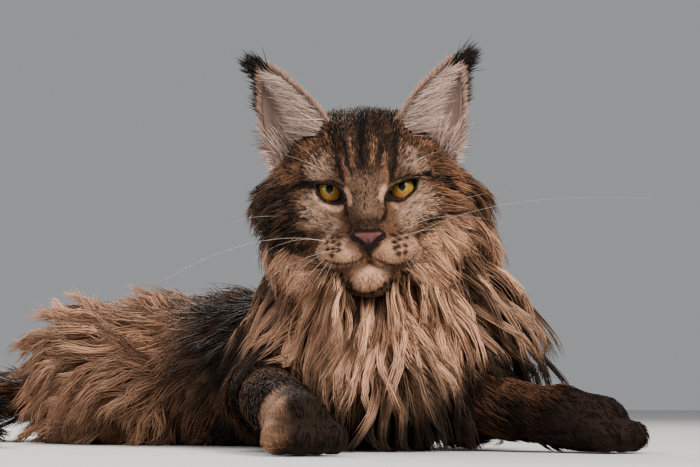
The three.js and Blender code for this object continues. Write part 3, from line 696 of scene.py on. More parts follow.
ROW_LINES = (
    (((-20, -41, -30), (-38, -30, -26)), 1.1), (((-21, -43, -34.5), (-38, -31, -32)), 1.1),
    (((-26, -42, -39.5), (-38, -30, -38)), 1.0), (((18, -41, -30), (38, -29, -25)), 1.1),
    (((19, -44, -34.5), (38, -31, -31)), 1.1), (((21, -44, -40), (38, -31, -37)), 1.0),
)
WHISKER_SPOTS = points_of(
    (-25.1, -31.5, -25.4), (-20.1, -34.3, -25.1), (-29.1, -33.9, -28.7), (-24.3, -37, -28),
    (-20, -40.8, -29.8), (-29, -39, -33.7), (-24.8, -41.7, -33.6), (-21, -43.6, -34.5), (-26, -42, -39),
    (22.7, -30, -23.9), (17.5, -34.9, -24.6), (27.1, -33.7, -27.3), (21.2, -37.9, -27.6),
    (17.5, -41.3, -29.8), (26.2, -40.6, -33.1), (20.9, -43.1, -33.4), (17.8, -44.1, -34.3),
    (26, -42.3, -39), (20.6, -44.3, -39.7),
)
DARK_SPOTS = (
    ((0, 36, 52), 30), ((-60, 26, -8), 22), ((60, 44, -10), 12), ((-60, 30, -26), 18), ((0, -37, -16), 9),
)
CREAM_SPOTS = (
    ((-16, -41, -38), 13), ((16, -41, -39), 13), ((-27, -33, -37), 14), ((28, -32, -37), 14),
    ((0, -44, -57), 16), ((-44, 2, -62), 16), ((52, 10, -54), 22), ((0, 0, -80), 32),
)
GREY_SPOTS = (
    ((-38, -7, -11), 17), ((41, -5, -8), 17), ((-34, -1, 20), 15), ((38, 2, 22), 16), ((0, -40, -52), 8),
    ((-31, -20, -21), 13), ((32, -14, -16), 13),
)
RUST_LINES = (
    (((10, -36, -12), (14, -39, -22), (12, -43, -29)), 4.5), (((63, 39, 13), (67, 38, 2), (58, 12, -2)), 9),
    (((-58, 20, 12), (-66, 30, 2)), 7), (((0, -24, 4), (0, -36, -8)), 6),
    (((-44, 25, 30), (-30, 20, 38)), 4), (((39, 26, 35), (53, 36, 27)), 4),
)
# how high the pale hair of the throat and jaw reaches, across the face
PALE_JAW = (
    (-79, -38, -32, -26, -18, 18, 24, 30, 40, 57, 91),
    (-39, -48, -60, -66, -99, -99, -62, -54, -33, -23, -10),
)
TAIL_RINGS = 9
LEG_BARS = 6


def drift(p, size, seed=0.0):
    """Slow change over the coat, from -1 to 1."""
    return np.array([noise.noise(Vector((x / size + seed, y / size, z / size))) for x, y, z in p])


def finely(line, steps=16):
    """The points of a line with more between them, so many to each of its pieces."""
    line = np.asarray(line, float)
    shares = np.linspace(0, 1, steps)[:, None]
    return np.concatenate([a + shares * (b - a) for a, b in zip(line[:-1], line[1:])])


def nearest_of(p, spots):
    """Which of a row of spots is nearest to each point."""
    return np.argmin(np.linalg.norm(p[:, None] - spots[None], axis=2), axis=1)


def along_line(p, line):
    """Share of a line's length at the point of it that is nearest."""
    fine_line = finely(line, 12)
    return nearest_of(p, fine_line) / (len(fine_line) - 1)


def part_of(p):
    """Which part of the body each point belongs to."""
    return np.array(list(PARTS))[np.argmin([field(p) for field in PARTS.values()], axis=0)]


FACE_COAT = 3.5


def nearness(p, lines, soft=1.5):
    """How fully points lie on any of a set of lines, or in any of a set of spots."""
    found = np.zeros(len(p))
    for line, half in lines:
        gap = to_segments(p, line) if np.ndim(line) == 2 else np.linalg.norm(p - line, axis=1)
        found = np.maximum(found, 1 - ramp(gap, 0.5 * half, soft * half))
    return found


NOSE_TIP = np.array((0.0, -52, -24))


def rays_from_nose(q):
    """Streaks of light and dark, from -1 to 1, that run the way of the hair, out from the nose."""
    arm = q - NOSE_TIP
    turn = np.arctan2(arm[:, 2], arm[:, 0])
    reach = np.linalg.norm(arm, axis=1) / 9
    wide = np.array([noise.noise(Vector((a * 15, d, 3.0))) for a, d in zip(turn, reach)])
    fine = np.array([noise.noise(Vector((a * 38, d, 8.0))) for a, d in zip(turn, reach)])
    return wide + 0.8 * fine


def markings(p, out):
    """Shares of dark, rust, cream and grey hair at points of the skin, or of the coat over it."""
    part = part_of(p)
    patchy = drift(p, 14)
    flecks = ramp(drift(p, 1.6, 11.0), 0.0, 0.4)
    broad = drift(p, 42, 7.0)
    dark = np.clip(0.22 + 0.5 * patchy, 0, 0.6)
    rust = np.clip(0.3 + 0.4 * broad, 0, 1)
    cream = np.zeros(len(p))
    grey = np.zeros(len(p))

    on_head = part == "head"
    q = to_head(p[on_head])
    q = q + (FACE_COAT - head_masses(q))[:, None] * (out[on_head] @ HEAD_TURN)
    wavy = q + 0.9 * np.stack([drift(q, 5, 3.0), drift(q, 5, 5.0), drift(q, 5, 9.0)], axis=1)
    tan = nearness(wavy, TAN_LINES)
    pale = nearness(wavy, CREAM_LINES)
    pads = nearness(wavy, CREAM_SPOTS, 1.2)
    lines = nearness(wavy, DARK_LINES) * (1 - 0.8 * np.maximum(tan, pale))
    lines = np.maximum(lines, 0.9 * nearness(wavy, DARK_SPOTS, 1.1))
    lines = np.maximum(lines, nearness(q, [(spot, 2.5) for spot in WHISKER_SPOTS]))
    lines = np.maximum(lines, 0.55 * nearness(wavy, ROW_LINES, 1.8))
    mouth = np.minimum(to_segments(q, MOUTH_LINES[1]), to_segments(q, MOUTH_LINES[-1]))
    lines = np.maximum(lines, 0.95 * (1 - ramp(mouth, 1.2, 2.8)))
    ticked = nearness(wavy, GREY_SPOTS, 1.1)
    rusty = nearness(wavy, RUST_LINES)
    brow = (1 - ramp(np.abs(q[:, 0]), 20, 27)) * ramp(q[:, 2], 10, 20)
    bridge = (1 - ramp(np.abs(q[:, 0]), 9, 15)) * ramp(q[:, 2], -26, -18) * (1 - ramp(q[:, 2], 10, 18))
    low_bridge = bridge * (1 - ramp(q[:, 2], -16, -8))
    far_cheek = ramp(-q[:, 0], 44, 58) * (1 - ramp(q[:, 2], -4, 14))
    fan = ramp(q[:, 0], 22, 28) * ramp(q[:, 2], 6, 12)
    plain = 0.23 + 0.14 * fan + 0.55 * brow * (1 - 0.8 * tan)
    plain = plain + 0.2 * bridge + 0.35 * low_bridge + 0.45 * far_cheek
    plain = plain * (1 - 0.85 * np.maximum(pads, pale)) + flecks[on_head] * (0.2 - 0.15 * pads)
    rays = rays_from_nose(q) * (1 - 0.7 * brow) * (1 - 0.6 * bridge)
    plain = plain + (0.55 - 0.2 * pads) * np.maximum(rays, 0)
    jaw = 1 - ramp(wavy[:, 2] - np.interp(q[:, 0], *PALE_JAW), -3, 3)
    dark[on_head] = np.clip(np.maximum(lines, plain), 0, 1) * (1 - 0.95 * jaw)
    pale = np.maximum(0.8 * pale, 0.85 * pads)
    pale = np.maximum(pale, (0.9 + 0.2 * broad[on_head]) * jaw)
    cream[on_head] = np.clip(pale + 0.12 * tan + 0.22 * ticked, 0, 1)
    cream[on_head] = np.clip(cream[on_head] + 0.5 * ticked * np.maximum(-rays, 0), 0, 1)
    grey[on_head] = np.maximum(ticked, 0.35 * (bridge - low_bridge))
    rust[on_head] = np.clip(np.maximum(rusty, 0.3 + 0.15 * tan + 0.3 * broad[on_head]), 0, 1)

    on_ruff = part == "ruff"
    r = p[on_ruff]
    front = ramp(-r[:, 1], -10, 50)
    streaks = drift(r * (1, 1, 0.35), 9, 2.0)
    cream[on_ruff] = np.clip(0.25 + 0.55 * front + 0.5 * broad[on_ruff], 0, 1)
    # painted shade under the chest darkens the ruff's lower sides
    shaded_low_sides = (1 - ramp(r[:, 2], 26, 58)) * ramp(np.abs(r[:, 0] - 2), 18, 42)
    dark[on_ruff] = np.clip(0.6 * streaks + 0.5 * (1 - front) + 0.7 * shaded_low_sides - 0.08, 0, 0.85)

    on_trunk = part == "trunk"
    r = p[on_trunk]
    spine = ramp(r[:, 2], 78, 112)
    # the low flank behind the right elbow is near black: partly its own dark coat, partly painted shade under
    # the body
    elbow = 1 - ramp(np.linalg.norm(r - (-66, 10, 40), axis=1), 60, 120)
    bands = drift(np.stack([r @ AHEAD, r @ SIDEWAYS * 0.3, r[:, 2] * 0.3], axis=1), 16, 4.0)
    hind = ramp(-r[:, 0], 105, 160)
    dark[on_trunk] = np.clip(0.35 + 0.4 * spine + 0.6 * elbow - 0.6 * hind + 0.5 * bands, 0, 0.95)
    rust[on_trunk] = np.clip(0.35 + 0.5 * hind + 0.3 * broad[on_trunk], 0, 1)
    cream[on_trunk] = 0.2 * hind

    for name in ("thigh_right", "thigh_left"):
        here = part == name
        r = p[here]
        bands = drift(np.stack([r @ AHEAD, r @ SIDEWAYS * 0.3, r[:, 2] * 0.5], axis=1), 18, 6.0)
        dark[here] = np.clip(0.12 + 0.55 * bands, 0, 0.6)
        rust[here] = 0.85
        cream[here] = np.clip(0.25 + 0.5 * broad[here], 0, 0.6)

    on_tail = part == "tail"
    along = along_line(p[on_tail], TAIL_LINE)
    rings = 0.5 + 0.5 * np.sin(along * TAIL_RINGS * 2 * pi + patchy[on_tail])
    dark[on_tail] = np.maximum(0.2 + 0.65 * rings, ramp(along, 0.78, 0.92))
    rust[on_tail] = 0.45

    for name, joints in FORELEGS.items():
        for here in (part == "foreleg_" + name, part == "forepaw_" + name):
            along = along_line(p[here], joints)
            bars = 0.5 + 0.5 * np.sin(along * LEG_BARS * 2 * pi + 1.5 * patchy[here])
            outer_toes = ramp(along, 0.72, 0.84) * (1 - ramp(p[here, 0] + 8 * patchy[here], -60, -48))
            on_top = ramp(out[here, 2], 0.35, 0.8) * (1 - ramp(along, 0.6, 0.75)) * (name == "left")
            low_leg = ramp(along, 0.5, 0.7)
            shade = 0.78 + 0.2 * bars + 0.2 * low_leg - 0.22 * on_top
            dark[here] = np.clip(shade - 0.8 * outer_toes, 0.05, 0.98)
            rust[here] = 0.6
            cream[here] = 0.35 * outer_toes
    feet = (part == "foot_right") | (part == "foot_left")
    dark[feet] = np.clip(0.3 + 0.5 * patchy[feet], 0, 1)
    rust[feet] = 0.6
    return {"dark": dark, "rust": rust, "cream": cream, "grey": grey}


# Colours of the hairs, as light that they return
BLACK_HAIR = (0.007, 0.0045, 0.0035)
BROWN_HAIR = (0.17, 0.082, 0.046)
RUST_HAIR = (0.42, 0.19, 0.095)
CREAM_HAIR = (0.93, 0.53, 0.33)
GREY_HAIR = (0.42, 0.28, 0.2)


def coat_colour(finish, palest=CREAM_HAIR):
    colour = finish.mix(BROWN_HAIR, RUST_HAIR, finish.attribute("rust"))
    colour = finish.mix(colour, GREY_HAIR, finish.attribute("grey"))
    return finish.mix(colour, palest, finish.attribute("cream"))


skin_finish = Finish("undercoat_and_painted_shade")
skin_colour_and_shade = coat_colour(skin_finish)
skin_colour_and_shade = skin_finish.mix(skin_colour_and_shade, BLACK_HAIR, skin_finish.attribute("dark") * 0.98)
# a veil of painted shade, 25 to 55 per cent black, darkens all the skin as if it lay deep under the coat
skin_colour_and_shade = skin_finish.mix(skin_colour_and_shade, BLACK_HAIR, 0.25 + skin_finish.spots(420, 3) * 0.3)
down = skin_finish.bump(0.6, 0.0008, skin_finish.spots(900, 3))
skin_material = skin_finish.surface(Base_Color=skin_colour_and_shade, Roughness=0.8, Specular_IOR_Level=0.1, Normal=down)
skin_marks = markings(skin_points, skin_out)
skin = piece_from("skin", skin_points, skin_faces, skin_material, skin_marks)
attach(skin, "root")
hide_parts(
    *["head", "ruff", "trunk", "thigh_left", "thigh_right", "tail_root", "tail_middle", "tail_tip"],
    *["foreleg_left", "foreleg_right", "forepaw_left", "forepaw_right", "hindfoot_left", "hindfoot_right"],
)


# Lids
# The bare black edges of the eyelids, moist folds of skin that run from the coat in to the eyeball.
def closed_rings(rings):
    """Corners of the faces of a band of rings whose last ring joins the first."""
    count, sides = len(rings), len(rings[0])
    r, s = np.meshgrid(np.arange(count), np.arange(sides), indexing="ij")
    r, s = r.ravel(), s.ravel()
    after, beside = (r + 1) % count, (s + 1) % sides
    return np.stack([r * sides + s, r * sides + beside, after * sides + beside, after * sides + s], axis=1)


def faced_out(points, faces):
    """Faces turned so that the shape has its volume inside."""
    corners = points[faces].transpose(1, 0, 2)
    volume = sum(np.sum(corners[0] * np.cross(b, c)) for b, c in zip(corners[1:], corners[2:]))
    return faces if volume > 0 else faces[:, ::-1]


def closed_tube(rings, ends):
    """Points and faces of rings joined to the next, whose first and last are closed by a point each."""
    sides = len(rings[0])
    points = np.concatenate([*rings, ends])
    near_end, far_end = len(points) - 2, len(points) - 1
    around = np.arange(sides)
    after = (around + 1) % sides
    quads = closed_rings(rings)[:-sides]
    near_cap = np.stack([after, around, around * 0 + near_end], axis=1)
    far_cap = np.stack([near_end - sides + around, near_end - sides + after, around * 0 + far_end], axis=1)
    return points, faced_out(points, np.concatenate([quads[:, :3], quads[:, [0, 2, 3]], near_cap, far_cap]))


rim_finish = Finish("lid_skin")
wet = rim_finish.spots(700, 2)
rim_bump = rim_finish.bump(0.3, 0.0003, wet)
rim_colour = rim_finish.mix((0.006, 0.005, 0.005), (0.02, 0.012, 0.01), wet)
lid_look = {"Roughness": 0.55, "Specular_IOR_Level": 0.1, "Normal": rim_bump}
rim_material = rim_finish.surface(Base_Color=rim_colour, **lid_look)


def lid_ring(side, loop, scale, share=1.0, behind=0.0, level=BARE_DEPTH):
    """A ring of the lids, a share of the way from the ball out to the coat."""
    loop = LID_MIDDLE + (loop - LID_MIDDLE) * scale
    ring = on_face(side * (EYE_X + loop[:, 0]), loop[:, 1], level)
    ring[:, 1] = ring[:, 1] * share + ball_front(np.hypot(*loop.T)) * (1 - share) + behind
    return ring


for side, name in NAMED_SIDES:
    edge_loop = smooth_loop(LID_EDGES[side], 72)
    opening_loop = smooth_loop(OPENINGS[side], 72)
    rings = [
        lid_ring(side, edge_loop, 1.14, level=BARE_DEPTH - 1.2),
        lid_ring(side, edge_loop, 1.06, level=BARE_DEPTH + 0.1),
        lid_ring(side, edge_loop, 0.99, level=BARE_DEPTH + 0.1),
        lid_ring(side, 0.4 * edge_loop + 0.6 * opening_loop, 1.0, share=0.45),
        lid_ring(side, opening_loop, 1.0, share=0.12, behind=-0.15),
        lid_ring(side, opening_loop, 0.94, share=0, behind=0.9),
        lid_ring(side, edge_loop, 1.08, share=0, behind=4.0),
    ]
    lid_points = np.concatenate(rings)
    lid_faces = faced_out(lid_points, closed_rings(rings))
    lid = piece_from("lid_rim_" + name, from_head(lid_points), lid_faces, rim_material)
    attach(lid, "root")


# Eyes
# Balls 22 mm across with an amber iris, darker at its rim and green above, and an upright slit of a pupil.
# Painted shadow of the upper lid darkens the iris above and widens the pupil's top.
IRIS = 8.3
PUPIL = (2.6, 3.9)
camera_place = to_head(np.array([camera.location]) / MM)[0]
eye_finish = Finish("eye")
off_across = eye_finish.attribute("across")
off_up = eye_finish.attribute("up")
off_axis = (off_across**2 + off_up**2) ** 0.5
spoke = eye_finish.node("ShaderNodeMath", {"operation": "ARCTAN2"}, {0: off_up, 1: off_across})
fibre_place = eye_finish.node("ShaderNodeCombineXYZ", None, {"X": spoke * 3.0, "Y": off_axis * 0.16})
fibres = eye_finish.spots(4.5, 5, fibre_place)
AMBER_STOPS = (
    (0.0, (0.09, 0.05, 0.006)),
    (0.45, (0.27, 0.15, 0.018)),
    (0.62, (0.45, 0.26, 0.03)),
    (1.0, (0.66, 0.44, 0.08)),
)
amber = eye_finish.node("ShaderNodeValToRGB", {"stops": AMBER_STOPS}, {"Fac": fibres})
# the upper iris is green, darkened to olive with painted shadow of the upper lid
green_and_lid_shadow = eye_finish.step(off_up + off_across * 0.2, -2.0, 5.0) * 0.55
iris_colour = eye_finish.mix(amber, (0.12, 0.125, 0.022), green_and_lid_shadow)
orange_below = eye_finish.step(off_up * -1.0, 2.8, 6.4) * 0.85
iris_colour = eye_finish.mix(iris_colour, (0.9, 0.34, 0.09), orange_below)
dark_rim = eye_finish.step(off_axis, IRIS - 0.9, IRIS) * 0.92
iris_colour = eye_finish.mix(iris_colour, (0.03, 0.016, 0.008), dark_rim)
# the pupil sits 1.1 mm above the iris's middle and is widest at its top, where it takes in painted shadow of
# the upper lid
pupil_span = (abs(off_across / PUPIL[0]) ** 1.6 + abs((off_up - 1.1) / PUPIL[1]) ** 1.6) ** 0.62
inner_glow = eye_finish.step(pupil_span, 1.0, 1.5)
iris_colour = eye_finish.mix((0.34, 0.25, 0.05), iris_colour, 0.3 + inner_glow * 0.7)
iris_colour = eye_finish.mix((0.003, 0.003, 0.003), iris_colour, eye_finish.step(pupil_span, 0.93, 1.05))
white = eye_finish.step(off_axis, IRIS - 0.1, IRIS + 0.5)
iris_colour = eye_finish.mix(iris_colour, (0.012, 0.008, 0.007), white)
eye_look = {"Roughness": 0.25, "IOR": 1.3, "Coat_Weight": 0.4, "Coat_Roughness": 0.02}
eye_material = eye_finish.surface(Base_Color=iris_colour, **eye_look)
BULGE = 0.25  # how far the cornea stands out of the ball
for (side, name), centre in zip(NAMED_SIDES, EYE_PLACES):
    gaze = unit(camera_place - centre + UP * 150)
    across = unit(np.cross(gaze, UP))
    up = np.cross(across, gaze)
    rings = []
    for opening in np.linspace(0, pi, 34)[1:-1]:
        turn = np.linspace(0, 2 * pi, 48, endpoint=False)[:, None]
        radius = EYEBALL - BULGE + BULGE * np.exp(-((opening / 0.62) ** 4))
        flat = sin(opening) * (np.cos(turn) * across + np.sin(turn) * up)
        rings.append(centre + radius * (flat + cos(opening) * gaze))
    ends = np.stack([centre + gaze * EYEBALL, centre - gaze * (EYEBALL - BULGE)])
    ball, triangles = closed_tube(rings, ends)
    offs = {"across": (ball - centre) @ across, "up": (ball - centre) @ up}
    eyeball = piece_from("eyeball_" + name, from_head(ball), triangles, eye_material, offs)
    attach(eyeball, "root")
    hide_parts("eye_" + name)


# Nose
# Bare, finely pebbled skin between the nostrils, brown pink with a black edge.
nose_masses = blend(
    4,
    *[egg((side * 5.6, -43.6, -26.4), 6.6, 5.4, 4.4) for side in BOTH_SIDES],
    egg((0, -44, -31), 4.4, 5.4, 6.2),
)
nostrils = blend(
    1,
    *[rod((side * 3.9, -50, -30.2), (side * 7.4, -49.4, -28.6), 1.0, 1.5) for side in BOTH_SIDES],
    *[rod((side * 7.4, -49.4, -28.6), (side * 10.8, -46.8, -26.4), 1.5, 0.8) for side in BOTH_SIDES],
)
nose_groove = rod((0, -50.2, -28.4), (0, -49.6, -37), 0.4, 0.7)


def nose(q):
    return np.maximum(np.maximum(nose_masses(q), -nostrils(q)), -nose_groove(q))


nose_points, nose_quads = surface_of(nose, (-13.2, -53, -38.4), (13.2, -36, -18.4), 0.55)
nose_triangles = np.concatenate([nose_quads[:, :3], nose_quads[:, [0, 2, 3]]])
below_wings = 8.8 - 1.4 * np.maximum(-25.4 - nose_points[:, 2], 0) - np.abs(nose_points[:, 0])
edge = np.minimum(ramp(nostrils(nose_points), 0.0, 1.2), ramp(below_wings, -0.4, 1.2))
edge = np.minimum(edge, ramp(-nose_points[:, 2], 23.4, 24.8))
edge = np.minimum(edge, ramp(nose_groove(nose_points), 0.0, 1.0))
nose_finish = Finish("nose_leather")
nose_place = nose_finish.node("ShaderNodeTexCoord", out="Object")
pebbles = nose_finish.node("ShaderNodeTexVoronoi", None, {"Vector": nose_place, "Scale": 1500.0})
nose_bump = nose_finish.bump(0.5, 0.0003, pebbles)
nose_colour = nose_finish.mix((0.005, 0.0035, 0.0035), (0.15, 0.05, 0.043), nose_finish.attribute("pink"))
nose_colour = nose_finish.mix(nose_colour, (0.02, 0.01, 0.009), nose_finish.spots(260, 3) * 0.6)
nose_look = {"Roughness": 0.5, "Specular_IOR_Level": 0.14, "Normal": nose_bump}
nose_material = nose_finish.surface(Base_Color=nose_colour, **nose_look)
nose_piece = piece_from("nose_leather", from_head(nose_points), nose_triangles, nose_material, {"pink": edge})
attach(nose_piece, "root")
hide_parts("nose")


# Ears
# Thin upright cups of gristle under skin, bare grey pink inside and furred behind.
EAR_BASE, EAR_TIP = points_of((41, 38, 26), (64, 36, 80))
EAR_OPENS = np.array((0.42, -1, 0.12))
EAR_LENGTH = 64
EAR_HALF_WIDTH = 23


def ear_frame(side):
    mirror = np.array((side, 1, 1))
    base = EAR_BASE * mirror
    rise = unit((EAR_TIP - EAR_BASE) * mirror)
    opens = laid(EAR_OPENS * mirror, rise)
    return base, rise, opens, -side * np.cross(opens, rise)


def ear_point(side, u, v, behind):
    """A point of the cup: u from its inner edge at -1 to its outer edge at 1, v from base to tip."""
    base, rise, opens, across = ear_frame(side)
    u, v = np.broadcast_arrays(np.asarray(u, float), np.asarray(v, float))
    short = np.maximum(1 - v, 0)
    half = EAR_HALF_WIDTH * short**0.72 * (1 + 0.22 * np.sin(pi * v)) + 1.6
    hollow = (1 - u * u) * (15 * short**0.8 + 1.5)
    rising = v * EAR_LENGTH - 2 * u * (1 - v)
    forward = -hollow - behind * (1 - 0.45 * v)
    return base + rising[..., None] * rise + (u * half)[..., None] * across + forward[..., None] * opens


EAR_ACROSS, EAR_UP = 26, 34
ear_finish = Finish("ear_skin")
ear_pink = ear_finish.mix((0.26, 0.155, 0.13), (0.15, 0.1, 0.085), ear_finish.spots(90, 3))
ear_pink = ear_finish.mix(ear_pink, (0.035, 0.022, 0.018), ear_finish.attribute("dark"))
ear_bump = ear_finish.bump(0.4, 0.0006, ear_finish.spots(500, 3))
ear_material = ear_finish.surface(Base_Color=ear_pink, Roughness=0.6, Normal=ear_bump)
for side, name in NAMED_SIDES:
    u = np.linspace(-1, 1, EAR_ACROSS)
    rows = []
    shade = []
    for v in np.linspace(-0.16, 1, EAR_UP):
        rows.append(np.concatenate([ear_point(side, u, v, 0.5), ear_point(side, u[::-1], v, 1.9)]))
        inside = ramp(v, 0.62, 1.0) + 0.25 * ramp(np.abs(u), 0.8, 1.0)
        shade.append(np.concatenate([np.clip(inside, 0, 1), np.full(EAR_ACROSS, 0.75)]))
    ends = np.stack([rows[0].mean(axis=0), rows[-1].mean(axis=0)])
    ear_points, ear_triangles = closed_tube(rows, ends)
    marks = {"dark": np.concatenate([*shade, (0.5, 1.0)])}
    ear = piece_from("ear_skin_" + name, from_head(ear_points), ear_triangles, ear_material, marks)
    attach(ear, "root")
    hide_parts("ear_" + name)


# Coat
# Every hair shown is a thin three-sided sliver of mesh that leaves the skin, bends over along the lie of the
# coat and ends in a point. Its colour is that of the markings at its root or along it, and the hairs of the
# long coat stand together in locks.
skin_corners = skin_points[skin_faces]
skin_middles = skin_corners.mean(axis=1)
skin_areas = np.linalg.norm(
    np.cross(skin_corners[:, 1] - skin_corners[:, 0], skin_corners[:, 2] - skin_corners[:, 0]), axis=1
)
skin_parts = part_of(skin_middles)
middles_in_head = to_head(skin_middles)


def roots_on_skin(weight, count, draw):
    """Places drawn over the skin, closer together where its faces weigh more."""
    chance = skin_areas * weight
    chosen = draw.choice(len(skin_faces), count, p=chance / chance.sum())
    b, c = draw.uniform(0, 1, (2, count))
    b, c = np.where(b + c > 1, (1 - b, 1 - c), (b, c))
    shares = np.stack([1 - b - c, b, c], axis=1)[..., None]
    corners = skin_faces[chosen]
    return np.sum(skin_points[corners] * shares, axis=1), unit(np.sum(skin_out[corners] * shares, axis=1))


def combed(roots, out, lie, length, lift, sag, wave, steps, draw, waves=1.0, sunk=1.0):
    """Centre lines that leave their roots slantwise, bend over along the lie, sag and wave."""
    side = np.cross(lie, out)
    phases = draw.uniform(0, 2 * pi, (2, len(roots), 1))
    length, lift, sag, wave = [np.broadcast_to(v, len(roots))[:, None] for v in (length, lift, sag, wave)]
    path = [roots - out * sunk]
    for i in range(steps):
        s = (i + 0.5) / steps
        sway = wave * (0.35 + 0.65 * s) * np.sin(phases[0] + 2 * pi * waves * s)
        bob = 0.6 * wave * s * np.sin(phases[1] + 2 * pi * waves * s)
        heading = unit(lie + out * (lift * (1 - 1.2 * s) + bob) + side * sway - UP * sag * s)
        path.append(path[-1] + heading * (length + (sunk if i == 0 else 0)) / steps)
    return np.stack(path, axis=1)


def kept_off(field, paths, clearance):
    """Paths moved out of the flesh and off the floor, most of all at their tips."""
    for i in range(1, paths.shape[1]):
        p = paths[:, i]
        depth = field(p)
        room = clearance * min(i / 2, 1)
        sunk = depth < room
        if np.any(sunk):
            push = slope_of(field, p[sunk]) * (room - depth[sunk])[:, None]
            paths[sunk, i:] += push[:, None] * 0.9
        paths[:, i, 2] = np.maximum(paths[:, i, 2], FLOOR_GAP + 0.9)
    return paths


def parted(paths, out, lie, hairs, spread, gather, frizz, draw):
    """The hairs of each lock, spread round its root and drawn together towards its tip."""
    count, rings, _ = paths.shape
    side = np.cross(lie, out)[:, None]
    turn = draw.uniform(0, 2 * pi, (count, hairs, 1))
    radius = np.broadcast_to(spread, count)[:, None, None] * np.sqrt(draw.uniform(0, 1, (count, hairs, 1)))
    offset = radius * (np.cos(turn) * side + 0.8 * np.sin(turn) * lie[:, None])
    offset = offset + out[:, None] * draw.uniform(-0.3, 0.3, (count, hairs, 1)) * radius
    reach = draw.uniform(0.65, 1.0, (count, hairs, 1))
    wisp = draw.normal(0, 1, (count, hairs, 3)) * np.broadcast_to(frizz, count)[:, None, None]
    s = np.linspace(0, 1, rings)
    spots = s * reach * (rings - 1)
    low = np.minimum(spots.astype(int), rings - 2)
    part = (spots - low)[..., None]
    lock = np.arange(count)[:, None, None]
    centre = paths[lock, low] * (1 - part) + paths[lock, low + 1] * part
    closing = (1 - gather * s**0.8)[:, None]
    made = centre + offset[:, :, None] * closing + wisp[:, :, None] * (s**1.5)[:, None]
    return made.reshape(-1, rings, 3), np.repeat(out, hairs, axis=0)


def lock_tones(marks, paths, hair_paths, spread, dark, pale):
    """Marks for each ring of each hair: some locks darker, some paler, and all dark at their sides."""
    hairs = len(hair_paths) // len(paths)
    middle = np.repeat(paths[:, 0], hairs, axis=0)
    aside = np.linalg.norm(hair_paths[:, 0] - middle, axis=1) / spread
    toned = {**marks, "dark": marks["dark"] + dark, "cream": np.clip(marks["cream"] + pale, 0, 1)}
    rings = paths.shape[1]
    toned = {key: np.repeat(np.repeat(mark, hairs)[:, None], rings, axis=1) for key, mark in toned.items()}
    toned["dark"] = np.clip(toned["dark"] + 0.3 * aside[:, None] ** 2, 0, 0.96)
    return toned


HAIR_PROFILE = ((0, 0.25, 0.55, 0.8, 1), (0.7, 1.0, 0.9, 0.6, 0.2))  # width along a hair
HAIR_RIDGE = 0.45  # how high a hair's ridge stands, as a share of its width
PATCH = 0.003  # how much of the square one hair takes


def hair_piece(name, paths, out, width, marks, unwrapped, finish, draw):
    """One mesh of hairs: rings of three corners down each path, a point at its end and a face at its root."""
    count, rings, _ = paths.shape
    rings -= 1
    along = unit(np.gradient(paths, axis=1))
    roll = draw.normal(0, 0.5, (count, 1, 1))
    across = unit(np.cross(along, out[:, None]))
    rise = np.cross(across, along)
    across, rise = across * np.cos(roll) + rise * np.sin(roll), rise * np.cos(roll) - across * np.sin(roll)
    s = np.linspace(0, 1, rings + 1)[:rings]
    widths = np.broadcast_to(width, count)[:, None] * np.interp(s, *HAIR_PROFILE)
    half = 0.5 * widths[..., None]
    body = paths[:, :rings]
    aside = across[:, :rings] * half
    ridge = rise[:, :rings] * half * 2 * HAIR_RIDGE
    corners = np.stack([body + aside, body - aside, body + ridge], axis=2)
    points = np.concatenate([corners.reshape(count, -1, 3), paths[:, -1:]], axis=1)
    points[..., 2] = np.maximum(points[..., 2], FLOOR_GAP)
    each = points.shape[1]
    faces = [(0, 1, 2)]
    for r in range(rings - 1):
        for a, b in ((0, 1), (1, 2), (2, 0)):
            faces.append((3 * r + b, 3 * r + a, 3 * r + 3 + a))
            faces.append((3 * r + b, 3 * r + 3 + a, 3 * r + 3 + b))
    last = 3 * (rings - 1)
    faces.extend([(last + b, last + a, each - 1) for a, b in ((0, 1), (1, 2), (2, 0))])
    faces = (np.arange(count)[:, None, None] * each + np.array(faces)).reshape(-1, 3)

    s_all = np.append(np.repeat(s, 3), 1.0)
    values = {}
    for key, mark in marks.items():
        if mark.ndim == 1:
            values[key] = np.repeat(mark, each)
        else:
            ringed = np.repeat(mark[:, :rings], 3, axis=1)
            values[key] = np.concatenate([ringed, mark[:, -1:]], axis=1).ravel()
    values["along"] = np.tile(s_all, count)
    values["tone"] = np.repeat(draw.uniform(0, 1, count), each)
    sides = np.append(np.tile((-1.0, 1.0, 0.0), rings), 0.0)
    lower = np.append(np.tile((0.0, 0.0, -0.12), rings), 0.0)
    patch = np.stack([sides * 0.5, s_all * 0.85 + lower], axis=1) * PATCH
    uv = (unwrapped[:, None] + patch).reshape(-1, 2)
    piece = piece_from(name, points.reshape(-1, 3), faces, finish, values, uv)
    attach(piece, "root")


def hair_pieces(shares, paths, out, width, marks, unwrapped, finish, draw):
    """A mesh for each named share of the hairs, none of them too large."""
    width = np.broadcast_to(width, len(paths))
    for name, here in shares.items():
        marks_here = {key: mark[here] for key, mark in marks.items()}
        hair_piece(name, paths[here], out[here], width[here], marks_here, unwrapped[here], finish, draw)


def round_unwrap(p, centre, pole):
    """A place on the square for each point, as seen from a centre: the pole is in the middle."""
    pole = unit(np.array(pole, float))
    one = unit(np.cross(pole, (0.3, 0.2, 1)))
    two = np.cross(pole, one)
    ray = unit(p - centre)
    open_angle = np.arccos(np.clip(ray @ pole, -1, 1)) / pi
    turn = np.arctan2(ray @ two, ray @ one)
    return 0.5 + 0.485 * open_angle[:, None] * np.stack([np.cos(turn), np.sin(turn)], axis=1)


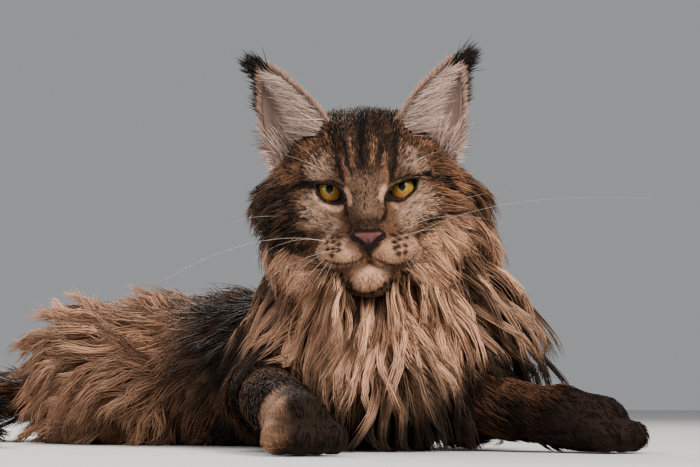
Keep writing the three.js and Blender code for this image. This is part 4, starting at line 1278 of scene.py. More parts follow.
def tube_unwrap(p, line, low=0.01, high=0.99):
    """A place on the square for each point round a line: its turn, and its share of the length."""
    fine_line = finely(line)
    nearest = nearest_of(p, fine_line)
    heading = unit(np.gradient(fine_line, axis=0)[nearest])
    arm = p - fine_line[nearest]
    slide = np.sum(arm * heading, axis=1)
    side = unit(np.cross(heading, UP + 0.01))
    rise = np.cross(side, heading)
    turn = np.arctan2(np.sum(arm * rise, axis=1), np.sum(arm * side, axis=1)) / (2 * pi) + 0.5
    total = np.linalg.norm(np.diff(line, axis=0), axis=1).sum()
    share = np.clip((nearest / (len(fine_line) - 1) * total + slide + 60) / (total + 120), 0, 1)
    return np.stack([low + (high - low) * turn, 0.01 + 0.98 * share], axis=1)


def coat_finish(name, root_shade, tip_pale, gloss, palest=CREAM_HAIR):
    """Hair: darker at its root with painted shade, paler or darker by the hair, with a soft shine."""
    finish = Finish(name)
    colour = coat_colour(finish, palest)
    along = finish.attribute("along")
    tone = finish.attribute("tone")
    colour = finish.mix(colour, CREAM_HAIR, finish.step(along, 0.35, 1.0) * tone * tip_pale)
    colour = finish.mix(colour, BLACK_HAIR, finish.attribute("dark"))
    # painted shade deep in the coat darkens each hair towards its root; tone darkens some hairs at random
    shade = (1 - finish.step(along, 0.0, 0.45)) * root_shade + (1 - tone) * 0.36
    colour = finish.mix(colour, BLACK_HAIR, shade)
    bump = finish.bump(0.2, 0.0002, finish.spots(1800.0, 1.0))
    rough = 0.5 + finish.spots(60) * 0.2
    return finish.surface(Base_Color=colour, Roughness=rough, Normal=bump, Specular_IOR_Level=gloss)


# Face
# Short ticked hair that runs from the nose up over the brow, out over the cheeks and down the chin.
face_material = coat_finish("face_hair", 0.35, 0.6, 0.12)
draw = np.random.default_rng(11)
q = middles_in_head
face_weight = (skin_parts == "head") & ~inside_lids(q, 1.02)
face_weight = face_weight & (nose_masses(q) > 0.6)
face_weight = face_weight * (1.0 + 1.2 * (1 - ramp(q[:, 1], 0, 40))) * np.where(q[:, 1] > 70, 0.4, 1)
face_weight = face_weight * (1 + 1.1 * ramp(q[:, 2], 36, 46) * (1 - ramp(q[:, 1], 50, 60)))
HEAD_CENTRE = np.array((0.0, 25, -8))


def face_lie(q, out):
    away = unit(q - NOSE_TIP)
    droop = ramp(np.abs(q[:, 0]), 26, 60) * (1 - ramp(q[:, 2], 6, 30))
    away = away - droop[:, None] * (0, 0, 0.75) + ramp(q[:, 2], 10, 40)[:, None] * (0, 0.8, 0)
    return laid(away, out)


FACE_HAIRS = 26500
roots, out = roots_on_skin(face_weight.astype(float), FACE_HAIRS, draw)
q = to_head(roots)
out_q = out @ HEAD_TURN
lie_q = face_lie(q, out_q)
swirl = np.stack([drift(q, 12, 1.0), drift(q, 12, 2.0), drift(q, 12, 3.0)], axis=1)
lie_q = laid(lie_q + 0.35 * swirl + draw.normal(0, 0.13, q.shape), out_q)
from_nose = np.linalg.norm(q - NOSE_TIP, axis=1)
jaw_side = ramp(from_nose, 62, 100) * (1 - ramp(q[:, 2], -34, 4)) * ramp(np.abs(q[:, 0]), 20, 46)
crown = ramp(q[:, 2], 32, 48)
by_ears = crown * ramp(np.abs(q[:, 0]), 12, 26)
length = 2.6 + 0.062 * from_nose + 15 * jaw_side + 17 * crown + 13 * by_ears + 7 * ramp(q[:, 1], 40, 70)
length *= draw.uniform(0.75, 1.2, len(q)) * (1 - 0.45 * near_eyes(q, 17))
mouth_gap = np.minimum(to_segments(q, MOUTH_LINES[1]), to_segments(q, MOUTH_LINES[-1]))
length *= 0.55 + 0.45 * ramp(mouth_gap, 1, 7)
lift = 0.32 + 0.5 * crown + 0.9 * by_ears + 0.2 * jaw_side - 0.1 * near_eyes(q, 17)
paths = combed(roots, out, lie_q @ HEAD_TURN.T, length, lift, 0.1 + 0.5 * jaw_side, 0.08, 2, draw, sunk=0.5)
width = np.clip(0.1 * length, 0.5, 1.05)
sampled = paths + draw.normal(0, 0.7, (len(roots), 1, 3))
marks = markings(sampled.reshape(-1, 3), np.repeat(out, 3, axis=0))
marks = {key: mark.reshape(-1, 3) for key, mark in marks.items()}
plain = marks["dark"] < 0.8
black_tip = (draw.uniform(0, 1, (len(roots), 1)) < 0.42) * (0.15, 0.45, 0.9) * (1 - marks["cream"])
uneven = draw.normal(0, 0.18 + 0.17 * marks["grey"][:, :1])
marks["dark"] = np.clip(marks["dark"] + (black_tip + uneven) * plain, 0, 1)
marks["cream"] = np.clip(marks["cream"] + 0.5 * marks["grey"] * draw.uniform(-0.4, 1, (len(roots), 1)), 0, 1)
unwrapped = round_unwrap(q, HEAD_CENTRE, (0, -1, -0.2))
shares = {"face_coat_left": q[:, 0] >= 0, "face_coat_right": q[:, 0] < 0}
hair_pieces(shares, paths, out, width, marks, unwrapped, face_material, draw)


# Cheek fringe
# Longer soft hair at the sides of the cheeks and under the jaw, swept out and back over the ruff.
draw = np.random.default_rng(17)
FRINGE_LOCKS = 480
FRINGE_HAIRS = 11
q = middles_in_head
below = ramp(-q[:, 2], 44, 52)
fringe_weight = (skin_parts == "head") & (q[:, 1] > -22 * below) & (q[:, 1] < 66)
fringe_weight = fringe_weight & (np.abs(q[:, 2] + 24) < 48)
beside = np.abs(q[:, 0])
fringe_weight = fringe_weight * np.where(q[:, 2] > -40, ramp(beside, 44, 52), ramp(beside, 14, 30))
fringe_weight = fringe_weight * (1 + 1.6 * ramp(q[:, 0], 16, 24) * below)
roots, out = roots_on_skin(fringe_weight, FRINGE_LOCKS, draw)
q = to_head(roots)
out_q = out @ HEAD_TURN
low = ramp(-q[:, 2], 0, 45)
widest = ramp(np.abs(q[:, 0]), 52, 64)
swept = np.stack([np.sign(q[:, 0]) * (0.9 - 0.3 * low), np.full(len(q), 0.35), -0.2 - 0.6 * low], axis=1)
lie_q = laid(swept + draw.normal(0, 0.15, q.shape), out_q)
length = 19 + 17 * ramp(-q[:, 2], -12, 34) + 7 * (q[:, 0] < 0) * widest + draw.uniform(-4, 8, len(q))
lift = 0.4 + 0.75 * widest
paths = combed(roots, out, lie_q @ HEAD_TURN.T, length, lift, 0.15, 0.2, 3, draw, sunk=1)
hair_paths, hair_out = parted(paths, out, lie_q @ HEAD_TURN.T, FRINGE_HAIRS, 5.0, 0.6, 1.8, draw)
# a lock takes its markings along its inner part, on the cat's left nearer to its root
sampled = np.where(q[:, :1] > 0, (0, 1, 1, 1), (0, 1, 2, 2))
sampled = paths[np.arange(len(q))[:, None], sampled]
lock_marks = markings(sampled.reshape(-1, 3), np.repeat(out, 4, axis=0))
lock_marks = {key: mark.reshape(-1, 4) for key, mark in lock_marks.items()}
kind = draw.uniform(0, 1, (len(q), 1))
below_jaw = ramp(-to_head(sampled)[:, :, 2], 40, 50) * (kind > 0.22)
lock_marks["cream"] = np.maximum(lock_marks["cream"], below_jaw * (0.55 + 0.45 * kind))
lock_marks["dark"] = lock_marks["dark"] * (1 - 0.9 * below_jaw)
hair_marks = {key: np.repeat(mark, FRINGE_HAIRS, axis=0) for key, mark in lock_marks.items()}
unwrapped = round_unwrap(to_head(hair_paths[:, 0]), HEAD_CENTRE, (0, -1, -0.2))
hair_piece("cheek_fringe", hair_paths, hair_out, 0.75, hair_marks, unwrapped, face_material, draw)


# Ruff
# The long silky mane round the neck and down the breast: dark hair close to the skin, and over it large pale
# locks that wave, come to a point and flare out at the sides. Painted shade darkens its lower sides and the
# hair near the floor.
ruff_material = coat_finish("ruff_hair", 0.5, 0.55, 0.14)
draw = np.random.default_rng(23)
# locks, hairs in each, their spread, gather and frizz, and how long, lifted, wavy, dark and pale they are
RUFF_LAYERS = (
    (270, 15, 8.5, 0.6, 2.6, 0.9, 0.8, 0.5, 0.4, 0.2),
    (250, 28, 5.8, 0.85, 1.5, 1.1, 1.15, 0.62, 0.0, 1.0),
)


RUFF_X, RUFF_Y = 6, -42  # its middle


def ruff_lie(p, out, high):
    flare = (p[:, 0] - RUFF_X) * 0.012 * (1 - 0.7 * high)
    back = -0.1 + np.maximum(0, p[:, 1] + 50) * 0.02
    return laid(np.stack([flare, back, np.full(len(p), -1.0)], axis=1), out)


middle_out = skin_out[skin_faces].mean(axis=1)
behind_cheeks = (skin_middles[:, 2] < 148) | (middle_out[:, 1] > 0.2)
q = middles_in_head
nape = (skin_parts == "head") & (q[:, 1] > 56) & (q[:, 2] < 24) & (np.abs(q[:, 0]) < 36)
throat = (skin_middles[:, 2] > 84) & (skin_middles[:, 1] < -60) & (np.abs(skin_middles[:, 0]) < 60)
ruff_weight = ((skin_parts == "ruff") & (skin_middles[:, 2] > 8) & behind_cheeks) * (1.0 + 1.6 * throat)
ruff_weight = ruff_weight + nape * 0.8
layers = []
for locks, hairs, spread, gather, frizz, longer, higher, wavier, deep, palest in RUFF_LAYERS:
    roots, out = roots_on_skin(ruff_weight, locks, draw)
    high = ramp(roots[:, 2], 110, 180)
    beside = ramp(np.abs(roots[:, 0] - RUFF_X), 30, 80)
    lie = laid(ruff_lie(roots, out, high) + draw.normal(0, 0.16, roots.shape), out)
    near_throat = ramp(roots[:, 2], 80, 92) * ramp(-roots[:, 1], 40, 60)
    near_throat = near_throat * (1 - ramp(np.abs(roots[:, 0]), 40, 60))
    length = (72 - 26 * high + draw.uniform(-12, 16, locks)) * longer
    length *= 1 - 0.4 * (1 - ramp(roots[:, 2], 22, 66))
    lift = (0.8 + 0.3 * beside - 0.45 * high) * higher
    deeper = 2 + 9 * near_throat[:, None]
    paths = combed(roots, out, lie, length, lift, 0.3, wavier, 5, draw, sunk=deeper)
    paths = kept_off(flesh, paths, 5)
    hair_paths, hair_out = parted(paths, out, lie, hairs, spread, gather, frizz, draw)
    kind = draw.uniform(0, 1, locks)
    # painted shade darkens the locks low on the ruff's sides, more on the cat's left
    shaded_low_side = beside * (1 - ramp(roots[:, 2], 105, 140))
    lock_marks = markings(roots, out)
    lock_marks["cream"] *= 0.3 + 0.6 * palest
    lock_marks["dark"] *= 1 - near_throat
    darker = deep + palest * (0.55 - 0.85 * kind) + (0.45 + 0.15 * (roots[:, 0] > 0)) * shaded_low_side
    darker = darker * (1 - near_throat)
    paler = palest * (0.5 * kind - 0.22) + 0.5 * near_throat
    marks = lock_tones(lock_marks, paths, hair_paths, spread, darker, paler)
    # painted shade: hair outside the breast's width below a height, and hair near the floor, is darkened as in
    # the shadow of the chest and forelegs
    out_of_middle = hair_paths[..., 0] - RUFF_X
    beyond = np.abs(out_of_middle) - (16 + 1.3 * (hair_paths[..., 2] - 18))
    hanging = 1 - ramp(hair_paths[..., 2] + 24 * (out_of_middle > 0), 84, 100)
    low = 0.6 * (1 - ramp(hair_paths[..., 2], 10, 34))
    marks["dark"] = np.clip(np.maximum(marks["dark"], ramp(beyond, -10, 16) * hanging) + low, 0, 0.96)
    layers.append((hair_paths, hair_out, np.repeat(roots, hairs, axis=0), marks))

# The sides of the neck, where the ruff stands out from behind the cheeks
COLLAR_LOCKS = 72
COLLAR_HAIRS = 27
q = middles_in_head
collar_weight = (skin_parts == "head") & (q[:, 1] > 34) & (q[:, 1] < 74) & (q[:, 2] < 4) & (q[:, 2] > -64)
collar_weight = collar_weight * ramp(np.abs(q[:, 0]), 32, 48) * np.where(q[:, 0] > 0, 1.5, 0.8)
roots, out = roots_on_skin(collar_weight, COLLAR_LOCKS, draw)
q = to_head(roots)
to_left = q[:, 0] > 0
outward = np.stack([np.sign(q[:, 0]), np.full(len(q), 0.1), np.full(len(q), -0.45)], axis=1)
lie = laid(outward @ HEAD_TURN.T + draw.normal(0, 0.12, q.shape), out)
length = np.where(to_left, 58 - 18 * ramp(q[:, 2], -20, 4), 34) + draw.uniform(-8, 10, len(q))
paths = combed(roots, out, lie, length, np.where(to_left, 2.3, 1.3), 0.6, 0.35, 5, draw, waves=0.9, sunk=2)
paths = kept_off(flesh, paths, 5)
hair_paths, hair_out = parted(paths, out, lie, COLLAR_HAIRS, 6.0, 0.8, 1.6, draw)
kind = draw.uniform(0, 1, (len(q), 1))
pale = ramp(-q[:, 2:], 0, 20) * (0.35 + 0.65 * kind)
across = np.linspace(0, 1, 6)
lock_marks = {
    "dark": 0.75 - 0.6 * pale - 0.2 * across,
    "rust": np.full((len(q), 6), 0.7),
    "cream": pale * (0.5 + 0.5 * across),
    "grey": np.full((len(q), 6), 0.1),
}
marks = {key: np.repeat(np.clip(mark, 0, 1), COLLAR_HAIRS, axis=0) for key, mark in lock_marks.items()}
layers.append((hair_paths, hair_out, np.repeat(roots, COLLAR_HAIRS, axis=0), marks))

# Pale locks that hang from under the jaw over the throat, and from the hollow beside it
BEARD_LOCKS = 72
BEARD_HAIRS = 21
q = middles_in_head
hollow = (skin_parts == "ruff") & (np.abs(q[:, 0] - 37) < 12) & (q[:, 1] < 32) & (q[:, 2] > -84)
hollow = hollow & (skin_out[skin_faces[:, 0], 1] < -0.5)
beside = np.abs(q[:, 0])
off_chin = np.linalg.norm(q - (0, -40, -56), axis=1) > 17
beard_weight = ((skin_parts == "head") & (q[:, 1] < 22)) + 2.0 * hollow
beard_weight = beard_weight * (q[:, 2] < -54) * (q[:, 1] > -32) * (beside < 50)
beard_weight = beard_weight * (1 + 1.6 * (beside < 18) + 1.4 * (q[:, 0] > 18)) * off_chin
roots, out = roots_on_skin(beard_weight, BEARD_LOCKS, draw)
lie = np.tile((0.0, -0.35, -1.0), (len(roots), 1))
lie[:, 0] = (roots[:, 0] - 20) * 0.006
lie = unit(unit(lie) + draw.normal(0, 0.1, roots.shape))
length = 50 + draw.uniform(-8, 10, len(roots))
forward = np.broadcast_to((0.0, -1.0, 0.0), roots.shape)
paths = combed(roots, forward, lie, length, 0.1, 0.3, 0.45, 5, draw, sunk=2)
paths = kept_off(flesh, paths, 5)
hair_paths, hair_out = parted(paths, out, lie, BEARD_HAIRS, 5.5, 0.8, 1.5, draw)
kind = draw.uniform(0, 1, len(roots))
BEARD_MARKS = {"dark": 0.1, "rust": 0.7, "cream": 0.7, "grey": 0.1}
beard = {key: np.full(len(roots), share) for key, share in BEARD_MARKS.items()}
marks = lock_tones(beard, paths, hair_paths, 5.5, 0.35 - 0.6 * kind, 0.4 * kind - 0.1)
layers.append((hair_paths, hair_out, np.repeat(roots, BEARD_HAIRS, axis=0), marks))
hair_paths, hair_out, hair_roots = [np.concatenate([row[i] for row in layers]) for i in range(3)]
hair_marks = {key: np.concatenate([row[3][key] for row in layers]) for key in layers[0][3]}
unwrapped = tube_unwrap(hair_paths[:, 0], ((RUFF_X, RUFF_Y, 215), (RUFF_X + 4, RUFF_Y, 0)))
lock_turn = np.arctan2(hair_roots[:, 0] - RUFF_X, RUFF_Y - hair_roots[:, 1])
FRONT_TURN, SIDE_TURN = 0.9, 2.4  # how far round from the breast the front and the sides reach
shares = {
    "ruff_front_left": (lock_turn >= 0) & (lock_turn < FRONT_TURN),
    "ruff_front_right": (lock_turn >= -FRONT_TURN) & (lock_turn < 0),
    "ruff_left": (lock_turn >= FRONT_TURN) & (lock_turn < SIDE_TURN),
    "ruff_right": (lock_turn >= -SIDE_TURN) & (lock_turn < -FRONT_TURN),
    "ruff_nape": np.abs(lock_turn) >= SIDE_TURN,
}
hair_pieces(shares, hair_paths, hair_out, 0.9, hair_marks, unwrapped, ruff_material, draw)


# Back and flanks
# Long shaggy hair that runs from the shoulders to the rump and hangs down the sides, almost black at the
# elbow, partly its own dark coat and partly painted shade under the body. Its locks root in the skin of the
# trunk.
back_material = coat_finish("back_hair", 0.5, 0.25, 0.2)
draw = np.random.default_rng(31)
BACK_LOCKS = 560
BACK_HAIRS = 13


def flank_lie(p, out, droop):
    return laid(-AHEAD - UP * droop[:, None], out)


back_weight = ((skin_parts == "trunk") & (skin_middles[:, 2] > 10)) * 1.0
roots, out = roots_on_skin(back_weight, BACK_LOCKS, draw)
downhill = 1 - ramp(out[:, 2], 0.2, 0.95)
lie = laid(flank_lie(roots, out, 0.15 + 0.75 * downhill) + draw.normal(0, 0.16, roots.shape), out)
length = 52 + 10 * downhill + draw.uniform(-10, 12, len(roots))
paths = combed(roots, out, lie, length, 0.42, 0.25 * downhill, 0.45, 4, draw, sunk=2)
paths = kept_off(flesh, paths, 5)
hair_paths, hair_out = parted(paths, out, lie, BACK_HAIRS, 8.5, 0.62, 2.6, draw)
kind = draw.uniform(0, 1, BACK_LOCKS)
hair_marks = lock_tones(markings(roots, out), paths, hair_paths, 8.5, 0.12 - 0.3 * kind, 0.1 * kind)
unwrapped = tube_unwrap(hair_paths[:, 0], (BREAST + AHEAD * 30, BARREL, LOIN, RUMP - AHEAD * 30))
to_right = np.repeat((roots - LOIN) @ SIDEWAYS > 0, BACK_HAIRS)
shares = {"back_coat_right": to_right, "back_coat_left": ~to_right}
hair_pieces(shares, hair_paths, hair_out, 1.1, hair_marks, unwrapped, back_material, draw)


# Haunches
# Long wavy tan hair over the thighs, in S-shaped locks that run back and down.
haunch_material = coat_finish("haunch_hair", 0.55, 0.5, 0.14)
draw = np.random.default_rng(41)
HAUNCH_HAIRS = 22
for name, side, locks in (("right", 1, 185), ("left", -1, 116)):
    thigh_weight = ((skin_parts == "thigh_" + name) & (skin_middles[:, 2] > 14)) * 1.0
    roots, out = roots_on_skin(thigh_weight, locks, draw)
    downhill = 1 - ramp(out[:, 2], 0.2, 0.95)
    lie = laid(flank_lie(roots, out, 0.35 + 0.6 * downhill) + draw.normal(0, 0.18, roots.shape), out)
    length = 58 + draw.uniform(-10, 14, len(roots))
    lift = 0.36 + 0.2 * downhill
    paths = combed(roots, out, lie, length, lift, 0.3 * downhill, 0.75, 5, draw, waves=1.3, sunk=2)
    paths = kept_off(flesh, paths, 5)
    hair_paths, hair_out = parted(paths, out, lie, HAUNCH_HAIRS, 9.0, 0.72, 2.6, draw)
    kind = draw.uniform(0, 1, locks)
    darker, paler = 0.36 - 0.56 * kind, 0.75 * kind - 0.12
    hair_marks = lock_tones(markings(roots, out), paths, hair_paths, 9.0, darker, paler)
    hair_marks["dark"] = np.minimum(hair_marks["dark"], 0.62)
    unwrapped = round_unwrap(hair_paths[:, 0], by_hip(side, 40, 30, 30), SIDEWAYS * side + UP * 0.5)
    piece = "haunch_coat_" + name
    hair_piece(piece, hair_paths, hair_out, 1.1, hair_marks, unwrapped, haunch_material, draw)


# Tail
# A plume: long loose hair all round the tail that leaves it slantwise, ringed and black at its end.
tail_material = coat_finish("tail_hair", 0.5, 0.25, 0.2)
draw = np.random.default_rng(53)
TAIL_LOCKS = 320
TAIL_HAIRS = 14
tail_steps = finely(TAIL_LINE)
tail_heading = unit(np.gradient(tail_steps, axis=0))
roots, out = roots_on_skin((skin_parts == "tail") * 1.0, TAIL_LOCKS, draw)
nearest = nearest_of(roots, tail_steps)
lie = laid(tail_heading[nearest] + draw.normal(0, 0.1, roots.shape), out)
out = unit(out * np.where(out[:, 2:] < 0, (1, 1, 0.35), (1, 1, 1)))
length = 56 + draw.uniform(-8, 10, len(roots)) - 12 * nearest / len(tail_steps)
paths = combed(roots, out, lie, length, 0.75, 0.15, 0.3, 4, draw, sunk=2)
paths = kept_off(flesh, paths, 4)
hair_paths, hair_out = parted(paths, out, lie, TAIL_HAIRS, 5.5, 0.5, 3.0, draw)
hair_marks = {key: np.repeat(mark, TAIL_HAIRS) for key, mark in markings(roots, out).items()}
unwrapped = tube_unwrap(hair_paths[:, 0], TAIL_LINE)
hair_piece("tail_coat", hair_paths, hair_out, 1.15, hair_marks, unwrapped, tail_material, draw)


# Legs and feet
# Dense hair that runs down the limbs, shortest on the toes.
leg_material = coat_finish("leg_hair", 0.4, 0.2, 0.05)
draw = np.random.default_rng(61)
FOOT_LINES = {
    "foot_right": (by_hip(1, -18, 66, 16), by_hip(1, 84, 64, 10)),
    "foot_left": (by_hip(-1, -18, 66, 16), by_hip(-1, 84, 64, 10)),
}
LIMBS = {
    "foreleg_right": (FORELEGS["right"], ("foreleg_right", "forepaw_right"), 4800, 0.0),
    "foreleg_left": (FORELEGS["left"], ("foreleg_left", "forepaw_left"), 4800, 0.25),
    "hindfoot_right": (FOOT_LINES["foot_right"], ("foot_right",), 1000, 0.5),
    "hindfoot_left": (FOOT_LINES["foot_left"], ("foot_left",), 1000, 0.75),
}
limb_hairs = []
for name, (line, parts, count, strip) in LIMBS.items():
    limb_weight = (np.isin(skin_parts, parts) & (skin_middles[:, 2] > 4)) * 1.0
    roots, out = roots_on_skin(limb_weight, count, draw)
    steps = finely(line)
    heading = unit(np.gradient(steps, axis=0))
    nearest = nearest_of(roots, steps)
    share = nearest / len(steps)
    lie = laid(heading[nearest] + draw.normal(0, 0.1, roots.shape) - UP * 0.25, out)
    length = (21 - 14.5 * ramp(share, 0.2, 0.9)) * draw.uniform(0.75, 1.25, len(roots))
    paths = combed(roots, out, lie, length, 0.35, 0.15, 0.12, 2, draw, sunk=0.6)
    marks = markings(roots, out)
    unwrapped = tube_unwrap(roots, line, strip + 0.005, strip + 0.245)
    limb_hairs.append((paths, out, np.clip(0.085 * length, 0.65, 1.15), marks, unwrapped))
paths, out, width, unwrapped = [np.concatenate([row[i] for row in limb_hairs]) for i in (0, 1, 2, 4)]
marks = {key: np.concatenate([row[3][key] for row in limb_hairs]) for key in limb_hairs[0][3]}
hair_piece("leg_coat", paths, out, width, marks, unwrapped, leg_material, draw)


# Ear fur
# Short dark hair behind the ears, long pale hair that crosses the cups from their inner edges, a thin tan rim
# and a black tuft that leans out from each tip.
EAR_PALE = (0.95, 0.7, 0.6)
ear_hair_material = coat_finish("ear_hair", 0.1, 0.25, 0.2, EAR_PALE)
draw = np.random.default_rng(71)


def ear_out(side, u, v, behind):
    """The way out of the wall of the ear at each point."""
    e = 0.02
    down = ear_point(side, u, v + e, behind) - ear_point(side, u, v - e, behind)
    aside = ear_point(side, u + e, v, behind) - ear_point(side, u - e, v, behind)
    out = unit(np.cross(aside, down))
    opens = ear_frame(side)[2]
    facing = 1 if behind < 1 else -1
    return out * np.sign(np.sum(out * opens, axis=-1, keepdims=True)) * facing


# u and v of the roots, the wall that they stand on, how far the hair runs up, out to the side and off the
# wall, its length and width, and its shares of dark, rust, cream and grey
EAR_GROUPS = {
    "behind": dict(count=2600, u=(-1, 1), v=(-0.05, 0.97), wall=1.9, up=1, aside=0.25, off=0.35,
                   length=(7, 10), width=0.7, steps=2, dark=(0.45, 0.95), rust=0.3, cream=0.0, grey=0.2),
    "lining": dict(count=1250, u=(-0.9, 0.95), v=(0, 0.92), wall=0.5, up=1, aside=0.35, off=0.3,
                   length=(5, 8), width=0.45, steps=2, dark=(0.0, 0.6), rust=0.1, cream=0.6, grey=0.5),
    "inner_edge": dict(count=850, u=(-1, -0.62), v=(0, 0.86), wall=0.5, up=0.85, aside=0.8, off=0.5,
                       length=(24, 38), width=0.5, steps=4, dark=(-0.1, 0.5), rust=0.05, cream=0.85, grey=0.6),
    "base": dict(count=360, u=(-0.8, 0.9), v=(-0.05, 0.16), wall=0.5, up=1, aside=0.2, off=0.45,
                 length=(20, 34), width=0.5, steps=4, dark=(0.0, 0.15), rust=0.1, cream=0.75, grey=0.5),
    "inner_rim": dict(count=600, u=(-1.0, -0.93), v=(-0.02, 0.99), wall=0.9, up=1, aside=-0.3, off=0.1,
                      length=(5, 8), width=0.5, steps=2, dark=(0.0, 0.3), rust=0.8, cream=0.3, grey=0.0),
    "outer_rim": dict(count=600, u=(0.93, 1.0), v=(-0.02, 0.99), wall=0.9, up=1, aside=0.4, off=0.1,
                      length=(5, 9), width=0.5, steps=2, dark=(0.0, 0.5), rust=0.8, cream=0.35, grey=0.0),
    "back_edge": dict(count=420, u=(0.5, 1.0), v=(0.55, 0.95), wall=1.9, up=1, aside=0.75, off=0.3,
                      length=(9, 15), width=0.55, steps=3, dark=(0.9, 1.0), rust=0.0, cream=0.0, grey=0.0),
    "lobe": dict(count=260, u=(0.72, 1.0), v=(-0.04, 0.2), wall=0.8, up=0.3, aside=0.6, off=0.3,
                 length=(7, 12), width=0.55, steps=2, dark=(0.0, 0.2), rust=0.3, cream=0.85, grey=0.1),
    "wisps": dict(count=70, u=(0.9, 1.0), v=(0.05, 0.42), wall=1.2, up=0.5, aside=0.9, off=0.1,
                  length=(9, 16), width=0.4, steps=3, dark=(0.3, 0.9), rust=0.0, cream=0.2, grey=0.6),
    "tuft": dict(count=320, u=(-0.8, 0.8), v=(0.86, 1.0), wall=1.2, up=1, aside=0.72, off=-0.1,
                 length=(15, 25), width=0.6, steps=4, dark=(0.95, 1.0), rust=0.0, cream=0.0, grey=0.0),
}
EAR_KINDS = {2: "short", 3: "edge", 4: "long"}  # by the lengths in a hair's line
for side, name in NAMED_SIDES:
    _, rise, _, across = ear_frame(side)
    for steps in EAR_KINDS:
        groups = [group for group in EAR_GROUPS.values() if group["steps"] == steps]
        gathered = []
        for group in groups:
            count = group["count"]
            u = draw.uniform(*group["u"], count)
            v = group["v"][0] + (group["v"][1] - group["v"][0]) * draw.uniform(0, 1, count) ** 1.1
            roots = ear_point(side, u, v, group["wall"])
            out = ear_out(side, u, v, group["wall"])
            lie = group["up"] * rise + group["aside"] * across + draw.normal(0, 0.16, (count, 3))
            if group["aside"] > 0.7:
                lie = lie + across * draw.uniform(-0.35, 0.35, (count, 1))
            shorter = 1 - 0.55 * np.clip(v, 0, 1) if steps == 4 and group["v"][0] < 0.5 else 1.0
            length = draw.uniform(*group["length"], count) * shorter
            paths = combed(roots, out, unit(lie), length, group["off"], 0, 0.12, steps, draw, sunk=0.3)
            dark = np.maximum(draw.uniform(*group["dark"], count), 0)
            if group["wall"] > 1 and group["v"][0] < 0.5:
                dark = np.maximum(dark * 0.8, ramp(v, 0.45, 0.75))
            marks = {key: np.full(count, group[key]) for key in ("rust", "cream", "grey")}
            marks["dark"] = dark
            half = 0.02 if group["wall"] < 1 else 0.52
            sideways = half + 0.46 * (np.clip(u, -1, 1) + 1) / 2
            place = np.stack([sideways, 0.03 + 0.94 * (v + 0.06) / 1.06], axis=1)
            gathered.append((paths, out, np.full(count, group["width"]), place, marks))
        paths, out, width, place = [np.concatenate([row[i] for row in gathered]) for i in range(4)]
        marks = {key: np.concatenate([row[4][key] for row in gathered]) for key in gathered[0][4]}
        coat_name = "ear_" + EAR_KINDS[steps] + "_" + name
        paths, out = from_head(paths), out @ HEAD_TURN.T
        hair_piece(coat_name, paths, out, width, marks, place, ear_hair_material, draw)


# Whiskers
# Stiff white bristles on the whisker pads, over the eyes and under the chin, thick at the root.
def whisker_tree(material):
    """Tapered round bristles along the lines of a mesh."""
    tree = bpy.data.node_groups.new("bristles", "GeometryNodeTree")
    for name, kind in (("Geometry", "Geometry"), ("Root radius", "Float"), ("Sides", "Int")):
        tree.interface.new_socket(name, in_out="INPUT", socket_type="NodeSocket" + kind)
    tree.interface.new_socket("Geometry", in_out="OUTPUT", socket_type="NodeSocketGeometry")

    def node(kind, settings=None, sockets=None):
        made = tree.nodes.new(kind)
        for key, value in (settings or {}).items():
            setattr(made, key, value)
        for key, value in (sockets or {}).items():
            if isinstance(value, bpy.types.NodeSocket):
                tree.links.new(value, made.inputs[key])
            else:
                made.inputs[key].default_value = value
        return made

    given = node("NodeGroupInput").outputs
    lines = node("GeometryNodeMeshToCurve", None, {"Mesh": given["Geometry"]})
    taper = node("GeometryNodeInputNamedAttribute", {"data_type": "FLOAT"}, {"Name": "taper"})
    thinned = {0: taper.outputs["Attribute"], 1: given["Root radius"]}
    thin = node("ShaderNodeMath", {"operation": "MULTIPLY"}, thinned)
    round_sides = {"Resolution": given["Sides"], "Radius": 1.0}
    ring = node("GeometryNodeCurvePrimitiveCircle", {"mode": "RADIUS"}, round_sides)
    sweep = {"Curve": lines.outputs[0], "Profile Curve": ring.outputs[0], "Scale": thin.outputs[0]}
    swept = node("GeometryNodeCurveToMesh", None, {**sweep, "Fill Caps": True})
    real = node("GeometryNodeRealizeInstances", None, {0: swept.outputs[0]})
    finished = node("GeometryNodeSetMaterial", None, {"Geometry": real.outputs[0], "Material": material})
    node("NodeGroupOutput", None, {0: finished.outputs[0]})
    return tree


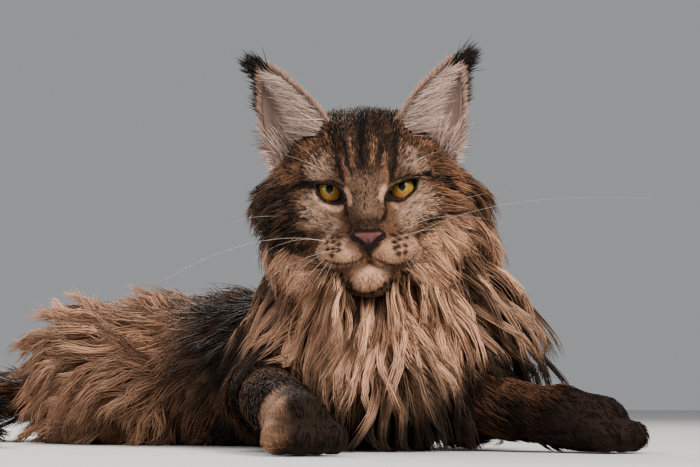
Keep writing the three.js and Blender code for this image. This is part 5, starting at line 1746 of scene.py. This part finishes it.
def whisker_lines():
    """Roots, ways and lengths of the bristles, in the head's frame."""
    draw = np.random.default_rng(83)
    rows = []
    for spot in WHISKER_SPOTS[[2, 7, 9, 12]]:
        side = np.sign(spot[0])
        row = (spot[2] + 26) / 14
        way = unit(np.array((side * 1.0, -0.25 + 0.2 * draw.uniform(), 0.12 + 0.55 * row)))
        length = draw.uniform(58, 100) * (1 - 0.25 * abs(row))
        rows.append((spot, way, length, 0.24 + 0.5 * draw.uniform()))
    rows.append((np.array((29.0, -33, -27)), unit(np.array((1.0, -0.42, 0.16))), 172, 0.16))
    rows.append((np.array((-30.0, -32, -28)), unit(np.array((-1.0, -0.3, -0.15))), 132, 0.3))
    for x, y, z, dx, dz, length in (
        (-24, -9, 15, -0.62, 0.8, 60), (-28, -7, 16, -0.95, 0.6, 66),
        (25, -8, 16, 0.6, 0.85, 56), (29, -6, 17, 0.9, 0.55, 48),
        (58, 12, -12, 0.9, 0.45, 46), (-58, 12, -16, -1, 0.2, 42),
        (-30, -34, -42, -0.85, -0.7, 34), (-27, -37, -43, -0.8, -0.9, 28), (-24, -38, -43, -0.6, -1, 26),
        (-33, -31, -39, -1, -0.6, 38), (30, -34, -42, 0.9, -0.75, 44), (27, -37, -43, 0.75, -0.9, 38),
        (33, -31, -39, 1, -0.7, 48), (24, -38, -43, 0.6, -1, 30),
    ):
        rows.append((np.array((x, y, z), float), unit(np.array((dx, -0.45, dz))), length, 0.35))
    return rows


WHISKER_POINTS = 22
whisker_mesh = bpy.data.meshes.new("whisker_lines")
places = []
links = []
tapers = []
for root, way, length, droop in whisker_lines():
    start = len(places)
    out = slope_of(head_masses, root[None])[0]
    place = root - 2.5 * out
    for i in range(WHISKER_POINTS):
        s = i / (WHISKER_POINTS - 1)
        places.append(from_head(place) * MM)
        tapers.append(1 - 0.86 * s)
        heading = unit(way + 0.6 * out * (1 - s) ** 3 + np.array((0, 0.35, -1)) * droop * s * 1.3)
        place = place + heading * length / (WHISKER_POINTS - 1)
    links.extend((start + i, start + i + 1) for i in range(WHISKER_POINTS - 1))
whisker_mesh.from_pydata(places, links, [])
whisker_mesh.attributes.new("taper", "FLOAT", "POINT").data.foreach_set("value", tapers)
whisker_finish = Finish("whisker")
shade = whisker_finish.mix((0.45, 0.39, 0.33), (0.7, 0.64, 0.57), whisker_finish.spots(120))
whisker_material = whisker_finish.surface(Base_Color=shade, Roughness=0.35)
drawn = bpy.data.objects.new("whisker_lines", whisker_mesh)
bpy.context.scene.collection.objects.link(drawn)
bristles = drawn.modifiers.new("bristles", "NODES")
bristles.node_group = whisker_tree(whisker_material)
BRISTLE_SIZES = {"Root radius": 0.0001, "Sides": 5}
for socket in bristles.node_group.interface.items_tree:
    if socket.in_out == "INPUT" and socket.name in BRISTLE_SIZES:
        bristles[socket.identifier] = BRISTLE_SIZES[socket.name]
shown = drawn.evaluated_get(bpy.context.evaluated_depsgraph_get())
whiskers = bpy.data.objects.new("whiskers", bpy.data.meshes.new_from_object(shown))
bpy.context.scene.collection.objects.link(whiskers)
bpy.data.objects.remove(drawn)
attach(whiskers, "root")
